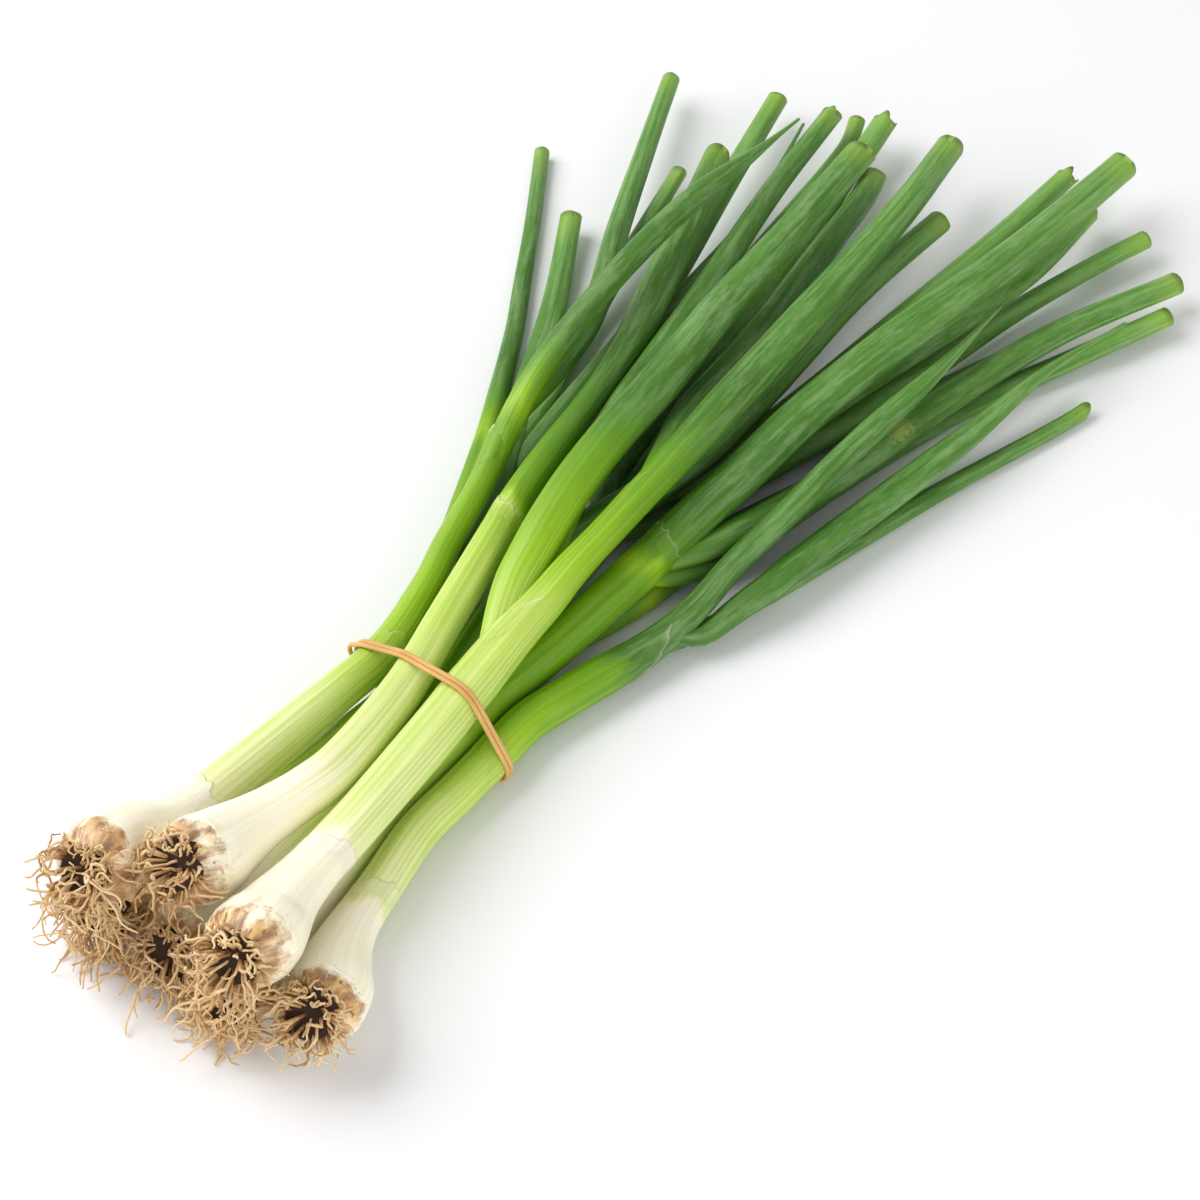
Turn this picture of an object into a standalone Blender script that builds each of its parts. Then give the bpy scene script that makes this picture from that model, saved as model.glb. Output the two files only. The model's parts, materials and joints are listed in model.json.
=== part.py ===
# Spring onion bunch: seven onions with their root tufts, held by one rubber band.
# It lies on its side, with the roots towards -X and the leaf tips towards +X.
# Blender works in metres. The sizes and places below are in millimetres.

import bpy
import bmesh
import math
import numpy as np
from mathutils import Vector

MM = 0.001

# Driving dimensions
# Distance from the root plate and radius, from the blunt base to the even stem
BULB_PROFILE = [(0, 6.8), (1.5, 8.8), (5, 11.0), (10, 12.0), (16, 11.6), (23, 9.9), (32, 7.9), (43, 6.9),
                (75, 6.7)]
BULB_FADE = (10.0, 50.0)   # a plant's bulb size gives way to its stem size here
SAMPLE_STEP = 5.0          # spacing of the points that settle
GAP = 0.6                  # air left between neighbouring plants
FORK_REACH = 38.0          # a leaf is free of its own plant past this length
FORK_BLEND = 45.0          # a stem turns into its leaf over this length
LEAF_START = 0.55          # share of a leaf's width where it leaves the stem
LEAF_SWELL = 55.0          # a leaf reaches its full width over this length
CUT_TAPER = 0.24           # share of its width that a leaf has lost at a cut end
CUT_TAPER_START = 0.4      # share of the leaf's length where that narrowing starts
POINT_TAPER = 0.86
POINT_TAPER_START = 0.5
SLANT = 3.5                # half the length of a slanting cut
TEAR = 3.0                 # depth of the teeth of a torn end
BLUNT = 0.5                # half the slope of a plain cut
WALL = 0.8                 # wall of the hollow leaf at a cut end
HOLLOW_DEPTH = 14.0        # depth of the hollow shown at a cut end
HOLLOW_TAPER = 0.3         # the hollow is this much narrower at its floor
STEM_SIDES = 12
LEAF_SIDES = 8
BULB_SPACING = 4.0
BULB_LENGTH = 28.0
NECK_SPACING = 8.0
NECK_LENGTH = 60.0
STEM_SPACING = 11.0
LEAF_SPACING = 16.0

# The root tufts
ROOT_COUNT = 18
ROOT_SEEDS = (24, 22, 27, 28, 25, 26, 20)
ROOT_STEPS = 2             # straight runs in a root
ROOT_RING = (2.4, 5.6)     # roots leave the plate between these radii
ROOT_LENGTHS = (8.0, 19.0)
ROOT_THICKNESS = (1.15, 0.75)
ROOT_SINK = 1.2            # each root starts this deep in the root plate
ROOT_CLEARANCE = 0.7       # air between a root and a neighbour
ROOT_OUTWARD = (0.7, 1.5)  # how much more a root sets off along the plant than sideways
ROOT_WANDER = 0.6
ROOT_SPREAD = 0.25
ROOT_DROOP = 0.8
ROOT_UPPER_LOSS = 0.5      # the topmost roots of a tuft are this much shorter
ROOT_FOLD = 0.3            # a root that would bend more sharply than this stops short
ROOT_NEIGHBOURS = 14       # points of each plant that the roots keep clear of
PLATE_PROFILE = [(0.3, 6.2), (0.9, 6.6), (2.2, 5.6), (2.7, 3.6), (1.6, 2.0)]
PLATE_SIDES = 8

# The rubber band
BAND_X = -60.0
STRAND_WIDTH = 1.2
STRAND_THICKNESS = 1.0
BAND_CLEARANCE = 0.35      # air between the band and the stems
STRAND_GAP = 0.3           # air between its two turns
BAND_CROSSING = 9.0        # the two turns cross within this length each way
CROSSING_LENGTH = 8.0      # a turn changes sides over this length
CROSSING_RAMP = 4.0        # the upper turn climbs over this length
CROSSING_SPACING = 2.0
CROSSING_MARGIN = 3.0
BAND_REACH = 2.5           # the stems are measured this far to each side of the band
BAND_ROOM = 2.1            # the stems stay this far above the surface at the band
BAND_RISE = 25.0           # length over which they rise to it
BAND_TURN = 20             # degrees that the band turns between two of its rings
CROSSING_ANGLE = -30       # degrees from +Y, low on the bunch's left, where the turns cross
BAND_SECTION = [(0.5, 0.0), (0.32, 0.5), (-0.32, 0.5), (-0.5, 0.0), (-0.32, -0.5), (0.32, -0.5)]

# Where the bunch's box has its middle, before it is moved to the origin
MIDDLE = (25.4, 44.5)

# The plants settle along the lines of sight to this point, so their outlines stay as seen
EYE = (-478.0, -430.0, 778.0)
SETTLE_TURNS = 260
LAST_TURNS = 0.75          # share of the turns after which nothing falls
FALL = 0.05                # drop in one turn
SIGHT_PULL = (0.12, 0.02)  # pull back to the line of sight, early and late
BEND_PULL = (0.4, 0.2)     # pull back to the drawn bend, early and late
BULB_POINTS = 3            # points at the root end that keep the slope that they are drawn with
PAIR_REACH = 26.0          # points further apart than this never touch
PAIR_SLICE = 0.7           # share of a step within which two points face each other
FLOOR_SHARE = 0.93         # a soft stem sinks this little into the surface

# Centre lines, from the root plate to the tip of the plant's main leaf
PLANTS = [
    {"name": "onion_1", "bulb": 1.03, "stem": 1.0, "fork": 205,
     "width": 8.0, "thickness": 7.0, "end": "cut",
     "girth": [(60, 1.0), (110, 0.88), (150, 0.72), (185, 0.56), (210, 0.52)],
     "path": [(-176.5, 16, 36), (-162.5, 19.5, 30), (-128.5, 22.5, 28), (-95, 25, 24), (-60, 26.5, 18),
              (-29.5, 34, 18), (3.5, 46, 22), (26.5, 55, 24), (66, 68, 23), (112, 93, 19),
              (146, 112, 16), (179, 130, 14)]},
    {"name": "onion_2", "bulb": 1.0, "stem": 1.0, "fork": 215,
     "width": 11.4, "thickness": 8.2, "end": "slant",
     "girth": [(60, 1.0), (110, 0.72), (150, 0.66), (180, 0.62), (215, 0.54)],
     "path": [(-159, 6.5, 42), (-146.5, 7, 34), (-113.5, 2.5, 32), (-98, 4, 29), (-69, 11, 26),
              (-43, 20, 25), (-22, 27, 25), (2, 35, 25), (22, 40, 26), (46, 45, 27), (69, 51, 28),
              (92, 60, 28), (125, 75, 26), (155, 89, 24)]},
    {"name": "onion_3", "bulb": 1.04, "stem": 1.02, "fork": 198,
     "width": 14.0, "thickness": 11.0, "end": "cut",
     "girth": [(60, 1.0), (90, 1.04), (120, 1.04), (150, 0.84), (175, 0.7), (200, 0.7)],
     "path": [(-169, -26, 38), (-155, -22, 32), (-141, -18.5, 32), (-111, -14, 31), (-78, -7, 27),
              (-57, -2, 24), (-38, 1, 26), (-15, 3, 30), (9, 4, 33), (47, 7, 36), (101, 14, 35),
              (164, 25, 30), (204, 35, 26)]},
    {"name": "onion_4", "bulb": 0.98, "stem": 0.87, "fork": 152,
     "width": 7.8, "thickness": 7.2, "end": "point",
     "girth": [(60, 1.0), (145, 1.0), (170, 0.85)],
     "path": [(-159.5, -38.5, 20), (-150, -34, 13), (-129.5, -26.5, 11), (-112.5, -22, 10),
              (-93, -16.5, 10), (-75, -15, 9), (-59, -14, 9), (-42, -17, 10), (-23, -21, 10),
              (-9, -24, 11), (4, -24, 13), (20, -22, 16), (39, -23, 20), (60, -23, 24), (82, -24, 26),
              (123, -24, 28), (157, -21, 27)]},
    {"name": "onion_5", "bulb": 0.92, "stem": 0.93, "fork": 205,
     "width": 12.8, "thickness": 11.0, "end": "cut",
     "girth": [(60, 1.0), (205, 1.0)],
     "path": [(-169, -21, 17), (-155, -17, 12), (-110, -9, 11), (-78, -3, 9), (-57, -1, 9),
              (-38, -3, 13), (-20.5, -8, 16), (11.5, -7, 19), (34, -5, 23), (60, -8, 28),
              (107, -14, 32), (162, -17, 31), (236, -9, 23)]},
    {"name": "onion_6", "bulb": 0.92, "stem": 0.8, "fork": 185,
     "width": 10.4, "thickness": 8.8, "end": "cut",
     "girth": [(60, 1.0), (185, 1.0)],
     "path": [(-169, 0, 17), (-155, 4, 12), (-110, 7, 11), (-80, 10, 9), (-57, 10, 8), (-25, 19, 9),
              (5, 20, 14), (40, 11, 22), (79, 11, 24), (133, 18, 22), (182, 21, 18)]},
    {"name": "onion_7", "bulb": 0.92, "stem": 0.78, "fork": 190,
     "width": 9.0, "thickness": 7.4, "end": "cut",
     "girth": [(60, 1.0), (190, 0.9)],
     "path": [(-171, 21, 17), (-157, 24, 12), (-110, 21, 11), (-80, 21, 9), (-57, 21, 7), (-25, 33, 7),
              (5, 49, 7), (45, 71, 7), (81, 92, 8), (112, 113, 11)]},
]

# The other leaves. The first point lies on the plant's own centre line.
LEAVES = [
    {"plant": "onion_1", "name": "outer", "width": 6.4, "thickness": 5.8, "end": "cut",
     "path": [(-48, 31, 18), (-14, 47, 13), (23, 67, 10), (62, 92, 7), (84, 108, 6), (106, 124, 6),
              (131, 143, 7)]},
    {"plant": "onion_1", "name": "crossing", "width": 7.8, "thickness": 6.6, "end": "point",
     "path": [(-29, 34, 18), (-8, 42.5, 22.5), (8, 49.5, 26), (30, 57, 31.5), (52, 61, 37),
              (95, 65, 42), (121, 68, 40), (150, 72, 36), (178, 73, 32)]},
    {"plant": "onion_2", "name": "inner", "width": 7.4, "thickness": 5.8, "end": "point",
     "path": [(30, 44, 27), (56, 49, 23), (87, 55, 21), (135, 63, 19), (191, 84, 14)]},
    {"plant": "onion_3", "name": "left", "width": 13.0, "thickness": 9.8, "end": "cut",
     "path": [(-56, -2, 25), (-34, 5, 28), (-11, 10, 31), (20, 18, 34), (49, 24, 36), (77, 30, 37),
              (112, 36, 36), (143, 43, 34), (177, 49, 30)]},
    {"plant": "onion_3", "name": "young", "width": 11.0, "thickness": 7.6, "end": "cut",
     "path": [(12, 4, 33), (47, 14, 29), (69, 21, 26), (103, 28, 22), (143, 39, 18), (187, 52, 15)]},
    {"plant": "onion_3", "name": "ridge", "width": 9.2, "thickness": 7.0, "end": "torn",
     "path": [(-38, 1, 26), (-4, 16, 24), (26, 28, 26), (48, 36, 27), (70, 42, 27), (98, 48, 28),
              (149, 63, 26), (195, 75, 22)]},
    {"plant": "onion_4", "name": "right", "width": 9.6, "thickness": 7.6, "end": "point",
     "path": [(-20, -22, 10), (6, -29, 11), (25, -31, 12), (49, -34, 13), (68, -37, 15), (111, -40, 17),
              (154, -43, 18), (185, -48, 17)]},
    {"plant": "onion_4", "name": "low", "width": 6.4, "thickness": 5.8, "end": "slant",
     "path": [(-20, -21, 10), (20, -29, 8), (72, -37, 5), (108, -44, 5), (148, -54, 6), (158, -56, 7)]},
    {"plant": "onion_5", "name": "low", "width": 9.0, "thickness": 6.4, "end": "point",
     "path": [(-40, -3, 12), (-8, -3, 7), (15, -6, 6), (43, -8, 5), (75, -12, 6), (106, -18, 7)]},
    {"plant": "onion_5", "name": "folded", "width": 7.0, "thickness": 5.6, "end": "slant",
     "path": [(24, -5, 20), (50, -4, 20), (87, -5, 20), (137, -10, 19), (181, -14, 17), (222, -9, 13)]},
    {"plant": "onion_5", "name": "wide", "width": 10.0, "thickness": 7.8, "end": "cut",
     "path": [(4, -5, 18), (34, -12, 15), (78, -21, 14), (126, -27, 16), (170, -35, 16),
              (213, -48, 14)]},
    {"plant": "onion_5", "name": "under", "width": 8.8, "thickness": 7.2, "end": "cut",
     "path": [(-2, -5, 17), (30, -12, 10), (89, -19, 6), (132, -28, 7), (165, -40, 9), (202, -53, 11)]},
    {"plant": "onion_6", "name": "middle", "width": 9.0, "thickness": 7.0, "end": "point",
     "path": [(-30, 18, 9), (-5, 13, 11), (29, 19, 12), (71, 28, 13), (112, 35, 15), (154, 43, 18)]},
    {"plant": "onion_6", "name": "torn", "width": 9.4, "thickness": 7.4, "end": "torn",
     "path": [(20, 17, 17), (50, 8, 15), (97, 5, 15), (143, 4, 16), (192, 4, 16), (229, 5, 16)]},
    {"plant": "onion_6", "name": "left", "width": 10.0, "thickness": 7.6, "end": "torn",
     "path": [(8, 19, 14), (44, 31, 12), (79, 37, 13), (109, 41, 15), (143, 46, 17), (178, 54.5, 18),
              (208.5, 63.5, 18)]},
    {"plant": "onion_6", "name": "right", "width": 8.2, "thickness": 7.0, "end": "cut",
     "path": [(2, 20, 13), (40, 8, 8), (93, -4, 8), (132, -11, 9), (171, -16, 10), (206, -24, 12),
              (223, -29, 13)]},
    {"plant": "onion_6", "name": "low", "width": 6.2, "thickness": 5.2, "end": "point",
     "path": [(-4, 21, 12), (36, 14, 5), (80, 2, 4), (121, -12, 5), (162, -23, 6), (194, -36, 8)]},
    {"plant": "onion_7", "name": "thin", "width": 7.0, "thickness": 6.0, "end": "cut",
     "path": [(12, 53, 7), (44, 65, 8), (80, 78, 9), (111, 88, 11), (149.5, 100.5, 12)]},
    {"plant": "onion_7", "name": "mid", "width": 9.0, "thickness": 7.0, "end": "cut",
     "path": [(2, 48, 7), (34, 56, 9), (66, 60, 12), (99, 66, 14), (151, 83, 15), (195, 98, 14)]},
    {"plant": "onion_7", "name": "inner", "width": 7.2, "thickness": 6.2, "end": "cut",
     "path": [(-8, 43, 7), (30, 45, 7), (70, 47, 7), (130, 58, 9), (189, 67, 12), (205, 73, 13)]},
]


def unit(vectors):
    # Vectors of length one, for one vector or for a list of them
    vectors = np.asarray(vectors, float)
    return vectors / np.linalg.norm(vectors, axis=-1, keepdims=True)


def curve_through(points, step):
    # Points an even step apart on a Catmull-Rom curve through the given ones
    points = np.asarray(points, float)
    ends = np.vstack([2 * points[0] - points[1], points, 2 * points[-1] - points[-2]])
    fine = []
    for before, start, end, after in zip(ends, ends[1:], ends[2:], ends[3:]):
        for t in np.arange(0, 1, 0.05):
            fine.append(0.5 * (2 * start + (end - before) * t
                               + (2 * before - 5 * start + 4 * end - after) * t ** 2
                               + (3 * start - before - 3 * end + after) * t ** 3))
    fine.append(points[-1])
    return resample(np.array(fine), step)


def travelled(points):
    # Length along a line at each of its points
    return np.concatenate([[0], np.cumsum(np.linalg.norm(np.diff(points, axis=0), axis=1))])


def resample(points, step):
    length = travelled(points)
    count = max(2, int(round(length[-1] / step)) + 1)
    wanted = np.linspace(0, length[-1], count)
    return np.column_stack([np.interp(wanted, length, points[:, axis]) for axis in range(3)])


def ease(share):
    # A smooth step from 0 to 1
    share = np.clip(share, 0, 1)
    return share * share * (3 - 2 * share)


def tip_share(length, total, end):
    # How a leaf narrows along its length: a little to a cut end, all the way to a point
    if end == "point":
        return 1 - POINT_TAPER * ease((length / total - POINT_TAPER_START) / (1 - POINT_TAPER_START))
    return 1 - CUT_TAPER * ease((length / total - CUT_TAPER_START) / (1 - CUT_TAPER_START))


def plant_halves(plant, length):
    # Half width and half thickness along a plant's main line
    total = length[-1]
    distance, radius = np.array(BULB_PROFILE).T
    fade = 1 - ease((length - BULB_FADE[0]) / BULB_FADE[1])
    swell = plant["stem"] + (plant["bulb"] - plant["stem"]) * fade
    stem = np.interp(length, distance, radius) * swell * np.interp(length, *np.array(plant["girth"]).T)
    leaf = tip_share(length - plant["fork"], total - plant["fork"], plant["end"])
    share = ease((length - plant["fork"]) / FORK_BLEND)
    wide = stem * (1 - share) + plant["width"] / 2 * leaf * share
    thick = stem * (1 - share) + plant["thickness"] / 2 * leaf * share
    return np.column_stack([wide, thick])


def leaf_halves(leaf, length):
    grown = LEAF_START + (1 - LEAF_START) * ease(length / LEAF_SWELL)
    shape = tip_share(length, length[-1], leaf["end"]) * grown
    return np.column_stack([leaf["width"] / 2 * shape, leaf["thickness"] / 2 * shape])


def draw_strands():
    # Every main line and every further leaf as one strand of evenly spaced points
    strands = []
    for number, plant in enumerate(PLANTS):
        points = curve_through(plant["path"], SAMPLE_STEP)
        length = travelled(points)
        strands.append({"plant": number, "parent": None, "points": points, "end": plant["end"],
                        "half": plant_halves(plant, length), "length": length, "name": plant["name"]})
    mains = {strand["name"]: strand for strand in strands}
    for leaf in LEAVES:
        parent = mains[leaf["plant"]]
        gaps = np.linalg.norm(parent["points"] - np.array(leaf["path"][0]), axis=1)
        root = int(np.argmin(gaps))
        line = [parent["points"][root], parent["points"][root + 2]] + leaf["path"][1:]
        points = curve_through(line, SAMPLE_STEP)
        length = travelled(points)
        strands.append({"plant": parent["plant"], "parent": parent, "root": root, "points": points,
                        "end": leaf["end"], "half": leaf_halves(leaf, length), "length": length,
                        "name": leaf["plant"] + "_" + leaf["name"]})
    return strands


def frames_of(points):
    # Direction along a line, and the sideways and upward directions of its cross-sections
    along = unit(np.gradient(points, axis=0))
    side = unit(np.cross(along, (0, 0, 1)))
    return along, side, np.cross(side, along)


def reach_towards(direction, side, rise, half):
    # How far an oval cross-section reaches in a direction
    across = np.sum(direction * side, axis=1) * half[:, 0]
    up = np.sum(direction * rise, axis=1) * half[:, 1]
    return np.hypot(across, up)


def settle(strands):
    # Lets the plants sink on to the surface and each other, and pushes them apart where they meet
    counts = [len(strand["points"]) for strand in strands]
    starts = np.cumsum([0] + counts)
    spans = [slice(a, b) for a, b in zip(starts, starts[1:])]
    place = np.vstack([strand["points"] for strand in strands])
    half = np.vstack([strand["half"] for strand in strands])
    strand_of = np.repeat(np.arange(len(strands)), counts)
    plant_of = np.repeat([strand["plant"] for strand in strands], counts)
    free = np.concatenate([strand["length"] if strand["parent"] else np.full(len(strand["points"]), 1e6)
                           for strand in strands])
    home = place.copy()
    sight = unit(home - np.array(EYE))
    inner = np.setdiff1d(np.arange(len(place)), np.concatenate([starts[:-1], starts[1:] - 1]))
    bend = (place[inner - 1] + place[inner + 1]) / 2 - place[inner]
    main_start = {id(strand): span.start for strand, span in zip(strands, spans)}
    for turn in range(SETTLE_TURNS):
        last = turn > SETTLE_TURNS * LAST_TURNS
        if turn % 20 == 0:
            first, second = close_pairs(place, strand_of, plant_of, free)
        if not last:
            place[:, 2] -= FALL
        drift = home - place
        drift -= np.sum(drift * sight, axis=1, keepdims=True) * sight
        place += drift * SIGHT_PULL[last]
        curve = (place[inner - 1] + place[inner + 1]) / 2 - place[inner] - bend
        place[inner] += curve * BEND_PULL[last]
        push_apart(place, half, spans, first, second)
        for strand, span in zip(strands, spans):
            if strand["parent"]:
                root = main_start[id(strand["parent"])] + strand["root"]
                place[span.start:span.start + 3] = place[root:root + 3]
            else:
                neck = span.start + BULB_POINTS
                place[span.start:neck] = place[neck] + home[span.start:neck] - home[neck]
    for strand, span in zip(strands, spans):
        strand["points"] = place[span]
        strand["length"] = travelled(place[span])


def close_pairs(place, strand_of, plant_of, free):
    # Pairs of points on different strands that may come to touch
    first, second = [], []
    for start in range(0, len(place), 400):
        block = place[start:start + 400]
        near = np.linalg.norm(block[:, None] - place[None], axis=2) < PAIR_REACH
        rows, columns = np.nonzero(near)
        rows = rows + start
        other = strand_of[rows] != strand_of[columns]
        long_enough = np.minimum(free[rows], free[columns]) > FORK_REACH
        keep = other & ((plant_of[rows] != plant_of[columns]) | long_enough)
        first.append(rows[keep])
        second.append(columns[keep])
    return np.concatenate(first), np.concatenate(second)


def push_apart(place, half, spans, first, second):
    along = np.empty_like(place)
    side = np.empty_like(place)
    rise = np.empty_like(place)
    for span in spans:
        along[span], side[span], rise[span] = frames_of(place[span])
    offset = place[first] - place[second]
    axial = np.sum(offset * along[second], axis=1)
    beside = offset - axial[:, None] * along[second]
    distance = np.linalg.norm(beside, axis=1) + 1e-9
    direction = beside / distance[:, None]
    needed = (reach_towards(direction, side[first], rise[first], half[first])
              + reach_towards(direction, side[second], rise[second], half[second]) + GAP)
    overlap = np.where(np.abs(axial) < PAIR_SLICE * SAMPLE_STEP, needed - distance, 0)
    hit = overlap > 0
    move = direction[hit] * overlap[hit, None] * 0.5
    total = np.zeros_like(place)
    touches = np.zeros(len(place))
    np.add.at(total, first[hit], move)
    np.add.at(total, second[hit], -move)
    np.add.at(touches, first[hit], 1)
    np.add.at(touches, second[hit], 1)
    place += total / np.maximum(touches, 1)[:, None]
    floor = FLOOR_SHARE * np.hypot(side[:, 2] * half[:, 0], rise[:, 2] * half[:, 1])
    near_band = np.exp(-((place[:, 0] - BAND_X) / BAND_RISE) ** 2)
    sunk = (1 - FLOOR_SHARE) * half[:, 1]
    place[:, 2] = np.maximum(place[:, 2], floor + (BAND_ROOM + sunk) * near_band)


def at_length(strand, wanted):
    # The strand's points and half sizes at chosen lengths along it
    length = strand["length"]
    points = np.column_stack([np.interp(wanted, length, strand["points"][:, axis]) for axis in range(3)])
    half = np.column_stack([np.interp(wanted, length, strand["half"][:, axis]) for axis in range(2)])
    return points, half


def moved(point):
    # From the millimetre plan to metres round the origin
    return Vector(((point[0] - MIDDLE[0]) * MM, (point[1] - MIDDLE[1]) * MM, max(point[2], 0) * MM))


def ring_points(centre, side, rise, wide, thick, sides):
    # An oval ring with a flat side down
    ring = []
    for k in range(sides):
        angle = 2 * math.pi * (k + 0.5) / sides
        ring.append(centre + side * wide * math.cos(angle) + rise * thick * math.sin(angle))
    return ring


def sweep(name, rings, closed=False):
    # A closed skin through rings with the same number of points
    mesh = bpy.data.meshes.new(name)
    work = bmesh.new()
    sides = len(rings[0])
    made = bmesh.ops.create_circle(work, segments=sides, radius=1.0, cap_ends=False)
    first = made["verts"]
    for vert, point in zip(first, rings[0]):
        vert.co = moved(point)
    edges = list({edge for vert in first for edge in vert.link_edges})
    current = {vert: k for k, vert in enumerate(first)}
    last_verts = list(first)
    for ring in rings[1:]:
        out = bmesh.ops.extrude_edge_only(work, edges=edges)["geom"]
        new_verts = [item for item in out if isinstance(item, bmesh.types.BMVert)]
        edges = [item for item in out if isinstance(item, bmesh.types.BMEdge)]
        following = {}
        for vert in new_verts:
            for edge in vert.link_edges:
                partner = edge.other_vert(vert)
                if partner in current:
                    following[vert] = current[partner]
        for vert, k in following.items():
            vert.co = moved(ring[k])
        current = following
        last_verts = sorted(new_verts, key=following.get)
    if closed:
        start_edges = [edge for edge in work.edges if edge.is_boundary and edge.verts[0] in first]
        bmesh.ops.bridge_loops(work, edges=start_edges + edges)
    else:
        work.faces.new(first)
        work.faces.new(last_verts)
    bmesh.ops.recalc_face_normals(work, faces=work.faces)
    work.to_mesh(mesh)
    work.free()
    shape = bpy.data.objects.new(name, mesh)
    bpy.context.scene.collection.objects.link(shape)
    return shape


def spread(start, end, spacing):
    # Evenly spaced values from start up to, not including, end
    count = max(1, int(round((end - start) / spacing)))
    return np.linspace(start, end, count, endpoint=False)


def end_shift(end, angle):
    # How far each point of a leaf's rim stands back from the tip
    if end == "slant":
        return SLANT * (1 - math.sin(angle))
    if end == "torn":
        return TEAR * (1 + math.sin(3 * angle))
    return BLUNT * (1 - math.sin(angle))


def strand_rings(strand, sides, stops):
    # Rings along a strand, then the hollow inside its cut end
    points, half = at_length(strand, stops)
    along, side, rise = frames_of(points)
    rings = [ring_points(*row, sides) for row in zip(points, side, rise, half[:, 0], half[:, 1])]
    if strand["end"] == "point":
        return rings
    angles = [2 * math.pi * (k + 0.5) / sides for k in range(sides)]
    back = [along[-1] * end_shift(strand["end"], angle) for angle in angles]
    rings[-1] = [point - shift for point, shift in zip(rings[-1], back)]
    inside = half[-1] - WALL
    rim = ring_points(points[-1], side[-1], rise[-1], inside[0], inside[1], sides)
    rings.append([point - shift for point, shift in zip(rim, back)])
    deep, deep_half = at_length(strand, np.array([stops[-1] - HOLLOW_DEPTH]))
    narrow = deep_half[0] - WALL - HOLLOW_TAPER
    rings.append(ring_points(deep[0], side[-1], rise[-1], narrow[0], narrow[1], sides))
    return rings


def strand_object(strand):
    total = strand["length"][-1]
    if strand["parent"] is None:
        stops = np.concatenate([spread(0, BULB_LENGTH, BULB_SPACING),
                                spread(BULB_LENGTH, NECK_LENGTH, NECK_SPACING),
                                spread(NECK_LENGTH, total, STEM_SPACING), [total]])
        return sweep(strand["name"], strand_rings(strand, STEM_SIDES, stops))
    stops = np.append(spread(SAMPLE_STEP, total, LEAF_SPACING), total)
    return sweep(strand["name"], strand_rings(strand, LEAF_SIDES, stops))


def keep_main_body(mesh):
    # Keeps the largest skin: a scrap that came loose goes, and a pocket sealed inside is filled
    work = bmesh.new()
    work.from_mesh(mesh)
    skins, seen = [], set()
    for face in work.faces:
        if face in seen:
            continue
        skin, waiting = [], [face]
        seen.add(face)
        while waiting:
            current = waiting.pop()
            skin.append(current)
            for edge in current.edges:
                for other in edge.link_faces:
                    if other not in seen:
                        seen.add(other)
                        waiting.append(other)
        skins.append(skin)
    skins.sort(key=lambda skin: sum(face.calc_area() for face in skin))
    stray = {vert for skin in skins[:-1] for face in skin for vert in face.verts}
    bmesh.ops.delete(work, geom=list(stray), context="VERTS")
    work.to_mesh(mesh)
    work.free()


def fuse(name, base, others, solver="EXACT"):
    # Joins the others to the base with one Boolean union and removes them
    if others:
        group = bpy.data.collections.new(name + "_pieces")
        bpy.context.scene.collection.children.link(group)
        for piece in others:
            bpy.context.scene.collection.objects.unlink(piece)
            group.objects.link(piece)
        union = base.modifiers.new("join", "BOOLEAN")
        union.operation = "UNION"
        union.operand_type = "COLLECTION"
        union.collection = group
        union.solver = solver
        view = bpy.context.evaluated_depsgraph_get()
        whole = bpy.data.meshes.new_from_object(base.evaluated_get(view))
        keep_main_body(whole)
        base.modifiers.clear()
        base.data = whole
        for piece in others:
            bpy.data.objects.remove(piece)
        bpy.data.collections.remove(group)
    base.name = name
    base.data.name = name
    return base


def material(name, colour, roughness, metallic=0.0):
    made = bpy.data.materials.new(name)
    made.use_nodes = True
    shader = made.node_tree.nodes["Principled BSDF"]
    shader.inputs["Base Color"].default_value = (*colour, 1.0)
    shader.inputs["Roughness"].default_value = roughness
    shader.inputs["Metallic"].default_value = metallic
    return made


def build_onions(strands, finish):
    onions = []
    for number, plant in enumerate(PLANTS):
        own = [strand for strand in strands if strand["plant"] == number]
        shapes = [strand_object(strand) for strand in own]
        onion = fuse(plant["name"], shapes[0], shapes[1:])
        onion.data.materials.clear()
        onion.data.materials.append(finish)
        onions.append(onion)
    return onions


def root_bases(strands):
    # Middle of each root plate and the direction that it faces
    mains = [strand for strand in strands if strand["parent"] is None]
    return [(strand["points"][0], -frames_of(strand["points"])[0][0]) for strand in mains]


def bend_clear(point, number, bases, strands):
    # Moves a point of a root clear of the other tufts, of every bulb and stem, and of the surface
    own = bases[number][0]
    for other, (base, _) in enumerate(bases):
        if other != number:
            away = unit(own - base)
            short = ROOT_CLEARANCE - float(np.dot(point - (own + base) / 2, away))
            point = point + away * max(short, 0)
    for strand in strands:
        if strand["parent"] is None:
            body = strand["points"][:ROOT_NEIGHBOURS]
            away = point - body
            distance = np.linalg.norm(away, axis=1)
            short = strand["half"][:ROOT_NEIGHBOURS, 0] + ROOT_CLEARANCE - distance
            worst = int(np.argmax(short))
            if short[worst] > 0 and (strand["plant"] != number or worst > 0):
                point = point + away[worst] / distance[worst] * short[worst]
    point[2] = max(point[2], ROOT_THICKNESS[0])
    return point


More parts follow.
